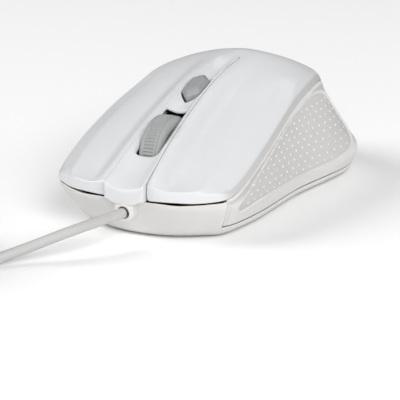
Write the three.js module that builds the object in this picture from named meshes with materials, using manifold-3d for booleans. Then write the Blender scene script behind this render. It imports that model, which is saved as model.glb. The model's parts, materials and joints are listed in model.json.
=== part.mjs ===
// Wired optical mouse with dotted grips on both sides.
// Millimetres. +Z is up, -Y is the front, where the cord leaves, and +X is the thumb side.
// The frame's origin lies under the middle of the body, on the surface that the mouse slides on.
import * as THREE from 'three';
import { mergeVertices } from 'three/addons/utils/BufferGeometryUtils.js';
import ManifoldModule from 'manifold-3d';

const wasm = await ManifoldModule();
wasm.setup();

// ---------------------------------------------------------------- driving dimensions

const WALL = 2; // shell thickness of the base and side panels
const COVER_WALL = 1.6; // shell thickness of the cover and keys
const GAP = 0.3; // clearance between neighbouring pieces
const FLOOR_LOW = 0.7; // underside of the base above the sliding surface
const FLOOR_HIGH = 2.5; // inside of the base's floor
const PANEL_SEAM = 0.3; // level of the seam between the base and the pieces above it
const POLE_Y = 18; // the highest point of the hump
const FLEX_Y = 8; // where the keys bend off the palm cover
const DISH_DEPTH = 2;

// Half outlines of the body, x y z, at nine stations from the front middle round to the rear middle.
const SOLE = [
  [0, -48, FLOOR_LOW], [9, -46.7, FLOOR_LOW], [17, -42.7, FLOOR_LOW], [22.2, -38, FLOOR_LOW],
  [25.3, -22.5, FLOOR_LOW], [26.6, 3, FLOOR_LOW], [31, 35, FLOOR_LOW], [22.5, 47.5, FLOOR_LOW],
  [0, 51.5, FLOOR_LOW],
];
const HIP = [
  [0, -54, 10], [12, -53, 10], [21, -49.2, 10], [27, -42.5, 10], [28.5, -24, 9.5], [29.5, 2.5, 9],
  [34.6, 34, 9], [24.2, 52.8, 9], [0, 58, 9.5],
];
const SHOULDER = [
  [0, -55, 13], [12, -54, 13], [21.5, -50.2, 13], [27.3, -43.5, 14.5], [28.5, -25, 21.5], [27, 0, 29],
  [24, 27.5, 31.5], [16.5, 44.5, 23], [0, 54, 19],
];
// Where the section at each station meets the middle line, as y.
const SPINE = [-55, -54, -51, -44, -26, -3, 15, POLE_Y, POLE_Y].map((y) => [0, y]);
// The top is one sheet that the outline trims: the sheet's side edge, and its middle line as y.
const SHEET_SIDE = [
  [27.6, -60, 13.5], [27.5, -55, 14.3], [27.4, -50, 15.4], [27.3, -43.5, 17.1], [28.5, -25, 24.3],
  [27, 0, 31.6], [24, 27.5, 33], [16.5, 44.5, 23.6], [0, 54, 19],
];
const SHEET_MIDDLE = [-60, -55, -50, -44, -26, -3, 15, POLE_Y, POLE_Y].map((y) => [0, y]);
// The crest between each key's groove and its bevel, x y z: along the top of the upright lip at
// the front, round the corner and back along the side, where it fades out.
const CREST = [
  [3, -54.8, 17.8], [6.2, -54.6, 17], [9, -54.3, 16.2], [12, -53.8, 15.8], [16, -52.7, 15.8],
  [19, -51.1, 16], [20.2, -48.3, 17.1], [20.7, -44, 18.9], [21.1, -40, 20.5], [21.6, -33, 23],
  [22, -26, 25.4], [21.6, -16, 28.6], [21, -6, 31.2], [20.4, 4, 33.2],
];
const CREST_X = 21.2;
// Height of the middle line against y, and half width of the centre strip against y.
const CROWN = [[-55, 17.2], [-40, 24.7], [-22, 31.6], [-4, 36.9], [POLE_Y, 40.5]];
const STRIP_HALF = [[-56, 6], [-15, 4.1], [16, 3.3]];
const STRIP_END = 13.6;
const NOSE_FRONT = -56.5;
const NOSE_LOW = 12.3;

const WHEEL = { y: -31.3, z: 18.9, radius: 11.5, half: 3.1, tread: 2.3, axle: 1.5 };
const WHEEL_SLOT = { half: 3.5, front: -44.2, rear: -22.6 };
const BUTTON = { y: -11.6, half: 2.9, tip: 6.9, side: 3.6 };

const BOARD = { low: 5.5, high: 7.1, half: 20, front: -43, rear: 24 };
const PART_SEAT = BOARD.high + GAP; // underside of what stands on the board
const SWITCH_X = 17;
const SWITCH_Y = -38;
const SWITCH_TOP = PART_SEAT + 6.5;
const PLUNGER_RISE = 0.7;
const BOSS = { x: 15, y: 33 };
const BOARD_SCREW = { x: 16, y: 19 };
const SCREW_RADIUS = 1.2;
const SCREW_HOLE = SCREW_RADIUS + GAP;

const GLAND = { z: 9.2, half: 2.75, top: 12, front: -56.5, rear: -50 };
const CORD_RADIUS = 1.4;
const COIL = { x: -51.5, y: -93.5, mean: 15.5, half: 5.6, low: 0.9, high: 11.9 };
// Route of the cord from the gland to the coil, chosen by hand.
const CORD_ROUTE = [
  [0, -56.8, 9.2], [-0.3, -58.4, 9.2], [-0.9, -60, 9.2], [-2, -63.5, 9.1], [-3.3, -67, 8.9], [-5, -70.4, 8.5],
  [-7.2, -73.4, 7.8], [-9.8, -76, 6.8], [-12.7, -78.3, 5.6], [-15.8, -80.4, 4.3], [-18.9, -82.7, 3.1],
  [-21.7, -85.4, 2.1], [-24.2, -88.6, 1.7], [-26.6, -92.1, 1.6], [-28.9, -95.4, 1.8],
];

const COLOURS = {
  coverWhite: { color: 0xe9ebee, roughness: 0.45, metalness: 0 },
  baseWhite: { color: 0xe3e1de, roughness: 0.5, metalness: 0 },
  gripWhite: { color: 0xdfe0e0, roughness: 0.65, metalness: 0 },
  cordWhite: { color: 0xe8e8e6, roughness: 0.55, metalness: 0 },
  wheelGrey: { color: 0x8f9592, roughness: 0.6, metalness: 0 },
  treadGrey: { color: 0x868c8a, roughness: 0.75, metalness: 0 },
  board: { color: 0x1f5a36, roughness: 0.5, metalness: 0 },
  black: { color: 0x1b1b1d, roughness: 0.5, metalness: 0 },
  clear: { color: 0xd8e2e6, roughness: 0.15, metalness: 0 },
  red: { color: 0xb8262a, roughness: 0.4, metalness: 0 },
  steel: { color: 0xb9bbbe, roughness: 0.3, metalness: 1 },
  glide: { color: 0xd6d6d2, roughness: 0.7, metalness: 0 },
};

// ---------------------------------------------------------------- curves

const clamp = (value, low, high) => Math.min(Math.max(value, low), high);

function smoothStep(value, low, high) {
  const t = clamp((value - low) / (high - low), 0, 1);
  return t * t * (3 - 2 * t);
}

// Catmull-Rom through the stations of a half outline, mirrored in X past both ends.
function along(stations, t) {
  const last = stations.length - 1;
  const place = clamp(t, 0, 1) * last;
  const index = Math.min(Math.floor(place), last - 1);
  const f = place - index;
  const mirror = ([x, ...rest]) => [-x, ...rest];
  const a = index === 0 ? mirror(stations[1]) : stations[index - 1];
  const b = stations[index];
  const c = stations[index + 1];
  const d = index === last - 1 ? mirror(stations[last - 1]) : stations[index + 2];
  return b.map((value, k) => {
    const straight = 2 * value + (c[k] - a[k]) * f;
    const square = (2 * a[k] - 5 * value + 4 * c[k] - d[k]) * f * f;
    const cube = (3 * value - a[k] - 3 * c[k] + d[k]) * f * f * f;
    return 0.5 * (straight + square + cube);
  });
}

// Smooth curve through points of x and y, straight past its ends.
function through(points, x) {
  const slope = (i) => (points[i + 1][1] - points[i][1]) / (points[i + 1][0] - points[i][0]);
  const last = points.length - 1;
  const tangent = (i) => {
    if (i === 0) return slope(0);
    if (i === last) return slope(last - 1);
    return (slope(i - 1) + slope(i)) / 2;
  };
  if (x <= points[0][0]) return points[0][1] + tangent(0) * (x - points[0][0]);
  if (x >= points[last][0]) return points[last][1] + tangent(last) * (x - points[last][0]);
  const i = points.findIndex((point, k) => x >= point[0] && x <= points[k + 1][0]);
  const span = points[i + 1][0] - points[i][0];
  const t = (x - points[i][0]) / span;
  const rise = points[i + 1][1] - points[i][1];
  const start = points[i][1] + (3 * t * t - 2 * t * t * t) * rise;
  const bend = (t - 2 * t * t + t * t * t) * tangent(i) + (t * t * t - t * t) * tangent(i + 1);
  return start + bend * span;
}

const crown = (y) => through(CROWN, Math.min(y, POLE_Y));
const stripHalf = (y) => through(STRIP_HALF, y);

const spread = (from, to, count) =>
  Array.from({ length: count + 1 }, (_, i) => from + ((to - from) * i) / count);

// A station point moved inwards in plan.
function ring(stations, s, inset) {
  const [x, y, z] = along(stations, s);
  if (s <= 0) return [0, y + inset, z];
  if (s >= 1) return [0, y - inset, z];
  const ahead = along(stations, Math.min(s + 0.004, 1));
  const behind = along(stations, Math.max(s - 0.004, 0));
  const run = [ahead[0] - behind[0], ahead[1] - behind[1]];
  const size = Math.hypot(run[0], run[1]);
  return [Math.max(x - (inset * run[1]) / size, 0), y + (inset * run[0]) / size, z];
}

// ---------------------------------------------------------------- the body's surface

// How far the finger groove sinks the top at a place in plan.
function dish(x, y) {
  const across = (Math.abs(x) - stripHalf(y)) / (CREST_X - stripHalf(y));
  const shape = 1.4 * smoothStep(across, 0.08, 0.33) * clamp(1 - across, 0, 1);
  return DISH_DEPTH * shape * (1 - smoothStep(y, -24, 14));
}

const STATIONS = spread(0, 1, 280);
const SEAM_LINE = STATIONS.map((s) => along(SHOULDER, s));
const SHEET_LINE = STATIONS.map((s) => along(SHEET_SIDE, s));
const sheetMiddle = (s) => Math.min(along(SHEET_MIDDLE, s)[1], POLE_Y);

// Station of the top's sheet whose section passes over a place in plan.
function sheetStation(x, y) {
  const reach = Math.abs(x);
  const turn = Math.atan2(reach, y - POLE_Y);
  let previous = null;
  for (let i = 0; i < STATIONS.length; i += 1) {
    const [sideX, sideY] = SHEET_LINE[i];
    const middle = sheetMiddle(STATIONS[i]);
    const fan = Math.atan2(sideX, sideY - POLE_Y);
    const here = { s: STATIONS[i], miss: middle + ((sideY - middle) * reach) / Math.max(sideX, 1e-6) - y, fan };
    if (previous) {
      const between = (low, high) => previous.s + ((here.s - previous.s) * low) / (low - high);
      if (here.s > 7 / 8 && fan <= turn) return between(previous.fan - turn, fan - turn);
      const crossed = previous.miss < 0 && here.miss >= 0;
      if (sideX > reach * 0.85 && crossed) return between(previous.miss, here.miss);
    }
    previous = here;
  }
  return 1;
}

function sheet(x, y) {
  const s = sheetStation(x, y);
  const [edgeX, edgeY, edgeZ] = along(SHEET_SIDE, s);
  const middle = sheetMiddle(s);
  const share = Math.hypot(x, y - middle) / Math.max(Math.hypot(edgeX, edgeY - middle), 1e-6);
  const rear = smoothStep(s, 0.5, 0.85);
  const reach = clamp(share / 0.99, 0, 1);
  const rise = crown(middle) - edgeZ;
  return edgeZ + rise * (1 - reach ** (2.2 - 0.3 * rear)) ** (1 / (1 + 0.34 * rear));
}

// Distance of a place in plan from the cover's outline, and the outline's station and height there.
function nearestSeam(x, y) {
  let best = { distance: Infinity };
  for (let i = 1; i < SEAM_LINE.length; i += 1) {
    const [ax, ay, az] = SEAM_LINE[i - 1];
    const [bx, by, bz] = SEAM_LINE[i];
    const size = (bx - ax) ** 2 + (by - ay) ** 2;
    const f = clamp(((Math.abs(x) - ax) * (bx - ax) + (y - ay) * (by - ay)) / size, 0, 1);
    const distance = Math.hypot(Math.abs(x) - ax - f * (bx - ax), y - ay - f * (by - ay));
    if (distance < best.distance) {
      best = { distance, s: STATIONS[i - 1] + f / 280, height: az + f * (bz - az) };
    }
  }
  return best;
}

const CREST_CURVE = new THREE.CatmullRomCurve3(CREST.map((point) => new THREE.Vector3(...point)));
const CREST_LINE = CREST_CURVE.getPoints(130);
// Height that the sheet must lose along the crest to meet it.
const CREST_LOSS = CREST_LINE.map(({ x, y, z }) => sheet(x, y) - dish(x, y) - z);

// Distance outside the crest, the crest's height nearby and the sheet's local loss.
function fromCrest(x, y) {
  let best = 0;
  let least = Infinity;
  let total = 0;
  let loss = 0;
  CREST_LINE.forEach((point, i) => {
    const square = (Math.abs(x) - point.x) ** 2 + (y - point.y) ** 2;
    const weight = 1 / (square + 0.1) ** 2;
    total += weight;
    loss += weight * CREST_LOSS[i];
    if (square < least) [best, least] = [i, square];
  });
  const point = CREST_LINE[best];
  const ahead = CREST_LINE[Math.min(best + 1, CREST_LINE.length - 1)];
  const behind = CREST_LINE[Math.max(best - 1, 0)];
  const side = (Math.abs(x) - point.x) * (ahead.y - behind.y) - (y - point.y) * (ahead.x - behind.x);
  return { outside: Math.sign(side) * Math.sqrt(least), height: point.z, loss: loss / total };
}

function softMinimum(first, second, soft) {
  const low = Math.min(first, second);
  return low - soft * Math.log(Math.exp(-(first - low) / soft) + Math.exp(-(second - low) / soft));
}

// Height of the outside of the top over a place in plan.
function coverHeight(x, y) {
  const { distance, s, height: seam } = nearestSeam(x, y);
  const { outside, height, loss } = fromCrest(x, y);
  const fade = 1 - smoothStep(y, -14, 3);
  const pull = fade * loss * clamp(1 + Math.min(outside, 0) / 10, 0, 1) ** 2;
  let top = sheet(x, y) - dish(x, y) - pull;
  const lift = 2 - smoothStep(s, 0.27, 0.37);
  const share = clamp(distance / Math.max(distance + outside, 0.2), 0, 1.5);
  const bevel = seam + lift + (height - seam - lift) * share;
  top += (bevel - top) * fade * smoothStep(outside, -0.5, 0.5);
  const steep = 1.5 + 7.5 * Math.max(1 - smoothStep(s, 0.27, 0.36), smoothStep(s, 0.76, 0.86));
  return softMinimum(top, seam + steep * distance, 0.2);
}

// A point of the top, from the shoulder (h = 1) to the middle line (h = 0).
function topPoint(side, h, inset) {
  const s = Math.abs(side);
  const sign = side < 0 ? -1 : 1;
  const spineY = Math.min(along(SPINE, s)[1], POLE_Y);
  const place = (depth) => {
    const [rimX, rimY] = ring(SHOULDER, s, depth);
    return [rimX * h, spineY + (rimY - spineY) * h];
  };
  const [x, y] = place(inset);
  const under = inset > 0 ? [x, y] : place(0);
  const rim = along(SHOULDER, s)[2];
  const rise = coverHeight(...under) - inset - rim;
  const closing = inset === 0 ? 1 : smoothStep(1 - h, 0, 0.03);
  return [sign * x, y, rim + rise * closing];
}

// A point of the side wall, from the sole (level 0) past the hip (1), which is rounded, to the shoulder (2).
function wallPoint(s, level, inset) {
  const sole = ring(SOLE, s, inset);
  const hip = ring(HIP, s, inset);
  const shoulder = ring(SHOULDER, s, inset);
  const mix = (from, to, f) => from.map((value, k) => value + (to[k] - value) * f);
  const straight = (at) => (at < 1 ? mix(sole, hip, at) : mix(hip, shoulder, at - 1));
  const round = 0.3 + 0.25 * smoothStep(s, 0.8, 0.95);
  if (Math.abs(level - 1) >= round) return straight(level);
  const t = (level - 1 + round) / (2 * round);
  return mix(mix(straight(1 - round), hip, t), mix(hip, straight(1 + round), t), t);
}

// The whole outside. side: -1 and 1 are the rear middle, 0 the front middle.
// level: 0 is the sole, 1 the hip, 2 the shoulder and 3 the middle line.
function bodyPoint(side, level, inset) {
  const wrapped = side > 1 ? side - 2 : side;
  if (level > 2) return topPoint(wrapped, 3 - level, inset);
  const s = Math.abs(wrapped);
  const sign = wrapped < 0 ? -1 : 1;
  const waist = 1.1 * Math.sin(Math.PI * clamp(level - 1, 0, 1)) * smoothStep(s, 0.35, 0.55);
  const [x, y, z] = wallPoint(s, level, inset);
  return [sign * Math.max(x - waist, 0), y, z];
}

// ---------------------------------------------------------------- solids

function meshFrom(positions, index) {
  const geometry = new THREE.BufferGeometry();
  geometry.setAttribute('position', new THREE.Float32BufferAttribute(positions, 3));
  geometry.setIndex(index);
  return geometry;
}

// A closed manifold from any closed geometry.
function solid(geometry) {
  const plain = geometry.clone();
  plain.deleteAttribute('normal');
  plain.deleteAttribute('uv');
  const merged = mergeVertices(plain, 1e-4);
  const corners = Array.from(merged.index.array);
  const kept = [];
  for (let i = 0; i < corners.length; i += 3) {
    const [a, b, c] = corners.slice(i, i + 3);
    if (a !== b && b !== c && c !== a) kept.push(a, b, c);
  }
  return new wasm.Manifold(new wasm.Mesh({
    numProp: 3,
    vertProperties: new Float32Array(merged.attributes.position.array),
    triVerts: new Uint32Array(kept),
  }));
}

function box(x0, x1, y0, y1, z0, z1) {
  const geometry = new THREE.BoxGeometry(x1 - x0, y1 - y0, z1 - z0);
  return solid(geometry.translate((x0 + x1) / 2, (y0 + y1) / 2, (z0 + z1) / 2));
}

function upright(shape, low, high, curveSegments = 8) {
  const settings = { depth: high - low, bevelEnabled: false, curveSegments };
  return solid(new THREE.ExtrudeGeometry(shape, settings).translate(0, 0, low));
}

// A turned piece about Z from a profile of radius and height pairs, closed on the axis.
function turned(profile, sides = 20) {
  const points = profile.map(([radius, height]) => new THREE.Vector2(radius, height));
  return solid(new THREE.LatheGeometry(points, sides).rotateX(Math.PI / 2));
}

function rod(radius, low, high, sides = 20) {
  return turned([[0, low], [radius, low], [radius, high], [0, high]], sides);
}

// The same pieces with their axis along X, and rods with their axis along Y.
const alongX = (piece) => piece.rotate([0, 90, 0]);
const alongY = (piece) => piece.rotate([-90, 0, 0]);

function roundedRectangle(halfX, halfY, radius) {
  const shape = new THREE.Shape();
  const quarter = Math.PI / 2;
  const corners = [[1, 1], [-1, 1], [-1, -1], [1, -1]];
  corners.forEach(([x, y], i) => {
    shape.absarc(x * (halfX - radius), y * (halfY - radius), radius, i * quarter, (i + 1) * quarter, false);
  });
  return shape;
}

// A stack of similar outlines: each level is a height and a scale.
function stacked(outline, levels) {
  const count = outline.length;
  const positions = [];
  levels.forEach(([z, scale]) => outline.forEach(([x, y]) => positions.push(x * scale, y * scale, z)));
  positions.push(0, 0, levels[0][0], 0, 0, levels.at(-1)[0]);
  const lowMiddle = count * levels.length;
  const index = [];
  for (let i = 0; i < count; i += 1) {
    const next = (i + 1) % count;
    index.push(lowMiddle, next, i);
    const rim = count * (levels.length - 1);
    index.push(lowMiddle + 1, rim + i, rim + next);
    for (let level = 0; level < levels.length - 1; level += 1) {
      const low = level * count;
      const high = low + count;
      index.push(low + i, low + next, high + next, low + i, high + next, high + i);
    }
  }
  return solid(meshFrom(positions, index));
}

// A closed piece of the body's skin between two insets. sides and levels are the grid's lines,
// and low and high cut the levels at each side.
function skin({ sides, levels, low, high, outer = 0, inner = WALL, ringed = false }) {
  const rows = levels.length;
  const columns = sides.length;
  const positions = [];
  [outer, inner].forEach((inset) => sides.forEach((side) => levels.forEach((level) => {
    positions.push(...bodyPoint(side, clamp(level, low(side), high(side)), inset));
  })));
  const index = [];
  const inward = columns * rows;
  const quad = (a, b, c, d) => index.push(a, b, c, a, c, d);
  const spans = ringed ? columns : columns - 1;
  for (let i = 0; i < spans; i += 1) {
    const here = i * rows;
    const next = ((i + 1) % columns) * rows;
    for (let j = 0; j < rows - 1; j += 1) {
      quad(here + j, next + j, next + j + 1, here + j + 1);
      quad(inward + here + j, inward + here + j + 1, inward + next + j + 1, inward + next + j);
    }
    quad(next, here, inward + here, inward + next);
    const top = rows - 1;
    if (high(0) < 3) quad(here + top, next + top, inward + next + top, inward + here + top);
  }
  if (!ringed) {
    const end = (columns - 1) * rows;
    for (let j = 0; j < rows - 1; j += 1) {
      quad(j, j + 1, inward + j + 1, inward + j);
      quad(end + j + 1, end + j, inward + end + j, inward + end + j + 1);
    }
  }
  return solid(meshFrom(positions, index));
}

const steps = (values) => values.flatMap((value) => [-value, value]).sort((a, b) => a - b);

// ---------------------------------------------------------------- outer shells

const CORNER_SEAM = 0.338; // side at which the base's front wall ends
const TAIL_SEAM = 0.835; // side at which the side panels end
const ringSides = () => {
  const even = spread(-1, 1, 72).slice(0, -1);
  const seams = steps([CORNER_SEAM - 0.001, CORNER_SEAM + 0.001, TAIL_SEAM - 0.001, TAIL_SEAM + 0.001]);
  return [...even, ...seams].sort((a, b) => a - b);
};

// Level that lies a given distance under the shoulder.
function underShoulder(side, distance) {
  const hip = bodyPoint(side, 1, 0);
  const shoulder = bodyPoint(side, 2, 0);
  return 2 - distance / Math.hypot(...hip.map((value, k) => shoulder[k] - value));
}

// Plan outline of the strip, grown outwards by a gap.
function stripOutline(grow, front, rear) {
  const shape = new THREE.Shape();
  const half = (y) => Math.min(stripHalf(Math.max(y, -56)), 6) + grow;
  const stations = spread(front, rear, 8);
  shape.moveTo(half(front), front);
  stations.slice(1).forEach((y) => shape.lineTo(half(y), y));
  stations.reverse().forEach((y) => shape.lineTo(-half(y), y));
  shape.closePath();
  return shape;
}

function coverBlank() {
  const tail = (side) => (Math.abs(side) > TAIL_SEAM ? PANEL_SEAM + 0.035 : 2);
  const blank = skin({
    sides: ringSides(),
    inner: COVER_WALL,
    levels: [
      0.335, 0.7, 1, 1.5, 2, 2.012, 2.05, 2.1, 2.17, 2.25, 2.34, 2.44, 2.54, 2.63, 2.7, 2.77, 2.84, 3,
    ],
    low: tail,
    high: () => 3,
    ringed: true,
  });
  const slot = upright(stripOutline(GAP / 2, -70, STRIP_END + GAP / 2), 0, 60);
  return blank.subtract(slot);
}

const cover = coverBlank();

function palmCover() {
  let palm = cover.intersect(box(-60, 60, FLEX_Y + GAP / 2, 80, -5, 60));
  [-1, 1].forEach((sign) => {
    const x = sign * BOSS.x;
    const top = coverHeight(x, BOSS.y) - 0.6;
    const post = rod(3.2, 8.6, top, 16).subtract(rod(SCREW_HOLE, 8, 20, 16)).translate(x, BOSS.y, 0);
    palm = palm.add(post.subtract(skinOutside()));
  });
  return palm;
}

// Everything outside the body, to trim what is built up to its skin.
function skinOutside() {
  const shell = skin({
    sides: spread(-1, 1, 72).slice(0, -1),
    levels: [0.335, 1, 1.5, 2, 2.05, 2.1, 2.17, 2.25, 2.34, 2.44, 2.56, 2.7, 2.85, 3],
    low: () => 0.335,
    high: () => 3,
    outer: -8,
    inner: 0.6,
    ringed: true,
  });
  return shell;
}

function key(sign) {
  const x0 = sign > 0 ? 0 : -60;
  const blank = cover.intersect(box(x0, x0 + 60, -80, FLEX_Y - GAP / 2, -5, 60));
  const x = sign * SWITCH_X;
  const low = SWITCH_TOP + PLUNGER_RISE + GAP;
  const post = box(x - 1.5, x + 1.5, SWITCH_Y - 1.5, SWITCH_Y + 1.5, low, coverHeight(x, SWITCH_Y) - 1);
  return blank.add(post);
}

function baseShell() {
  const wall = skin({
    sides: ringSides(),
    levels: [0, PANEL_SEAM, 0.65, 1, 1.4, 1.73],
    low: () => 0,
    high: (side) => (Math.abs(side) < CORNER_SEAM ? 1.73 : PANEL_SEAM),
    ringed: true,
  });
  const plan = new THREE.Shape(spread(-1, 1, 64).slice(0, -1).map((side) => {
    const [x, y] = bodyPoint(side, 0.05, 1);
    return new THREE.Vector2(x, y);
  }));
  let base = wall.add(upright(plan, FLOOR_LOW, FLOOR_HIGH));
  [-1, 1].forEach((sign) => {
    base = base.add(rod(4.5, FLOOR_LOW, 8.3, 20).translate(sign * BOSS.x, BOSS.y, 0));
    [-40, BOARD_SCREW.y].forEach((y) => {
      base = base.add(rod(2.2, FLOOR_LOW, BOARD.low - GAP, 16).translate(sign * BOARD_SCREW.x, y, 0));
    });
  });
  [-1, 1].forEach((sign) => {
    const hole = rod(SCREW_HOLE, -1, 9, 16).add(rod(3.2, -1, 3.2, 16));
    base = base.subtract(hole.translate(sign * BOSS.x, BOSS.y, 0));
    base = base.subtract(rod(SCREW_HOLE, 3, 9, 16).translate(sign * BOARD_SCREW.x, BOARD_SCREW.y, 0));
  });
  base = base.subtract(rod(3.8, -1, 4, 20).translate(0, 2, 0));
  FEET.forEach(({ y, halfX, halfY }) => {
    const recess = upright(roundedRectangle(halfX + GAP, halfY + GAP, halfY), -1, 1.7);
    base = base.subtract(recess.translate(0, y, 0));
  });
  base = base.subtract(glandBlock(GAP));
  return base.subtract(box(-6.3, 6.3, -60, -51, 11.9, 20));
}

const FEET = [{ y: -37.5, halfX: 11, halfY: 3.2 }, { y: 42.5, halfX: 14, halfY: 3.6 }];

function glideFoot({ y, halfX, halfY }) {
  return upright(roundedRectangle(halfX, halfY, halfY - 0.2), 0, 1.4).translate(0, y, 0);
}

// ---------------------------------------------------------------- centre strip

// The strip's middle line from its rear end over the top and down the nose, as y and z.
const STRIP_LINE = [
  ...spread(STRIP_END, -50, 12).map((y) => [y, crown(y)]),
  [-53.4, 18.0], [-55.2, 17.2], [-56.2, 16.2], [NOSE_FRONT, 15], [NOSE_FRONT, NOSE_LOW],
];

function stripSolid() {
  const across = spread(-1, 1, 8);
  const thickness = 1.4;
  const positions = [];
  // The inside follows under the top, then drops straight down behind the nose.
  const insideOf = ([y, z]) => (y > -55 ? [y, z - thickness] : [NOSE_FRONT + thickness, Math.min(z, 15)]);
  const sinkAt = (z) => 1.5 * smoothStep(z, NOSE_LOW + 2, 17);
  [false, true].forEach((inside) => STRIP_LINE.forEach((point) => {
    const half = Math.min(stripHalf(point[0]), 6) - GAP / 2;
    const [y, z] = inside ? insideOf(point) : point;
    const lowest = z === NOSE_LOW;
    const depth = inside && !lowest ? sinkAt(17) : sinkAt(point[1]);
    across.forEach((v) => positions.push(half * v, y, z - depth * (1 - v * v) ** 0.8));
  }));
  const rows = across.length;
  const inward = STRIP_LINE.length * rows;
  const index = [];
  const quad = (a, b, c, d) => index.push(a, b, c, a, c, d);
  for (let i = 0; i < STRIP_LINE.length - 1; i += 1) {
    const here = i * rows;
    const next = here + rows;
    for (let j = 0; j < rows - 1; j += 1) {
      quad(here + j, next + j, next + j + 1, here + j + 1);
      quad(inward + here + j, inward + here + j + 1, inward + next + j + 1, inward + next + j);
    }
    quad(next, here, inward + here, inward + next);
    const top = rows - 1;
    quad(here + top, next + top, inward + next + top, inward + here + top);
  }
  const end = (STRIP_LINE.length - 1) * rows;
  for (let j = 0; j < rows - 1; j += 1) {
    quad(j, j + 1, inward + j + 1, inward + j);
    quad(end + j + 1, end + j, inward + end + j, inward + end + j + 1);
  }
  return solid(meshFrom(positions, index));
}

function centreStrip() {
  const { half, front, rear } = WHEEL_SLOT;
  const slot = box(-half, half, front, rear, 0, 60);
  return stripSolid().subtract(slot).subtract(buttonSolid(GAP, 6));
}

// ---------------------------------------------------------------- small button and wheel

function buttonSolid(grow, rise) {
  const { half, tip, side } = BUTTON;
  const w = half + grow;
  const t = tip + grow;
  const straight = side + grow / 2;
  const outline = [[0, -t], [w, -straight], [w, straight], [0, t], [-w, straight], [-w, -straight]];
  const top = grow > 0 ? [[rise, 1]] : [[rise * 0.45, 1], [rise, 0.62]];
  const tilt = (Math.atan(0.3) * 180) / Math.PI;
  const middle = crown(BUTTON.y) - 1.5;
  return stacked(outline, [[-3, 1], ...top]).rotate([tilt, 0, 0]).translate(0, BUTTON.y, middle);
}

function button() {
  const stemLow = PART_SEAT + 4.3 + 0.9 + GAP;
  const stem = rod(1.6, stemLow, crown(BUTTON.y) - 3.4, 12).translate(0, BUTTON.y, 0);
  return buttonSolid(0, 2.3).add(stem);
}

const placeWheel = (piece) => piece.translate(0, WHEEL.y, WHEEL.z);

function wheelHub() {
  const { radius, half, tread } = WHEEL;
  const groove = radius - 2;
  const flange = radius - 0.5;
  const edge = tread + 0.15;
  const bore = WHEEL.axle + GAP;
  return placeWheel(alongX(turned([
    [bore, -half], [flange - 2.2, -half], [flange, -edge - 0.3], [flange, -edge], [groove, -edge],
    [groove, edge], [flange, edge], [flange, edge + 0.3], [flange - 2.2, half], [bore, half], [bore, -half],
  ], 40)));
}

// The ribbed tread: a ring whose outside is notched all round.
function wheelTyre() {
  const { radius, tread } = WHEEL;
  const ribs = 36;
  const shape = new THREE.Shape();
  for (let i = 0; i < ribs; i += 1) {
    [[0, radius - 0.45], [0.18, radius], [0.5, radius], [0.68, radius - 0.45]].forEach(([part, r], k) => {
      const angle = ((i + part) / ribs) * 2 * Math.PI;
      const point = [r * Math.cos(angle), r * Math.sin(angle)];
      if (i === 0 && k === 0) shape.moveTo(...point);
      else shape.lineTo(...point);
    });
  }
  shape.closePath();
  const bore = new THREE.Path();
  bore.absarc(0, 0, radius - 2 + GAP, 0, 2 * Math.PI, true);
  shape.holes.push(bore);
  return placeWheel(alongX(upright(shape, -tread, tread, 20)));
}

const wheelAxle = () => placeWheel(alongX(rod(WHEEL.axle, -11, 9, 14)));
const encoderRotor = () => placeWheel(alongX(turned([
  [WHEEL.axle + GAP, -10.8], [2.4, -10.8], [2.4, -6.8], [WHEEL.axle + GAP, -6.8], [WHEEL.axle + GAP, -10.8],
], 16)));

function encoderBody() {
  const block = box(-11.6, -6.2, WHEEL.y - 5.5, WHEEL.y + 5.5, PART_SEAT, WHEEL.z + 2);
  return block.subtract(placeWheel(alongX(rod(3.1, -14, -4, 20))));
}

// The frame round the wheel that carries its axle and presses the switch beside it.
function wheelCarrier() {
  const { y, z } = WHEEL;
  const low = 11.4;
  const high = 14.6;
  const reach = WHEEL.radius + 1;
  const frame = box(-5.5, 5.5, y - reach - 1.5, y + reach + 1.5, low, high);
  const ears = box(-5.5, 5.5, y - 3.2, y + 3.2, low, z + 3.2);
  const room = box(-4.1, 4.1, y - reach, y + reach, low - 1, z + 6);
  const footLow = SWITCH_TOP + PLUNGER_RISE + GAP;
  const foot = box(5, 10.2, y - 2, y + 2, footLow, footLow + 1.6);
  const bore = placeWheel(alongX(rod(WHEEL.axle + GAP, -8, 12, 14)));
  return frame.add(ears).add(foot).subtract(room).subtract(bore);
}

// ---------------------------------------------------------------- side panels

const panelTop = (side) => underShoulder(side, 0.75 - 0.35 * smoothStep(Math.abs(side), 0.35, 0.6));

function sideSkin(sign, sides, levels, low, high, outer, inner) {
  const ordered = sign > 0 ? sides : sides.map((side) => -side).reverse();
  return skin({ sides: ordered, levels, low, high, outer, inner });
}

// Upper edge of the drop-shaped grip pad, as levels along the side.
const PAD_EDGE = [
  [0.385, 1.0], [0.42, 1.42], [0.46, 1.66], [0.55, 1.87], [0.66, 1.91], [0.71, 1.88], [0.745, 1.72],
  [0.765, 1.5], [0.78, 1.2], [0.785, 1.0],
];
const PAD_LOW = 0.88;

function gripPad(sign, grow, outer, inner) {
  const sides = spread(0.385 - grow * 0.008, 0.785 + grow * 0.006, 24);
  const levels = spread(PAD_LOW - grow * 0.05, 2, 10);
  const edge = (side) => through(PAD_EDGE, clamp(Math.abs(side), 0.385, 0.785)) + grow * 0.06;
  const high = (side) => Math.max(edge(side), PAD_LOW + 0.06);
  return sideSkin(sign, sides, levels, () => PAD_LOW - grow * 0.05, high, outer, inner);
}

function sidePanel(sign) {
  const plate = sideSkin(
    sign,
    spread(CORNER_SEAM + 0.012, TAIL_SEAM - 0.012, 26),
    [0.335, 0.6, 0.8, 1, 1.2, 1.4, 1.6, 1.8, 2],
    () => PANEL_SEAM + 0.035,
    panelTop,
    0,
    WALL,
  );
  return plate.subtract(gripPad(sign, 1, -3, 1.2));
}

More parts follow.
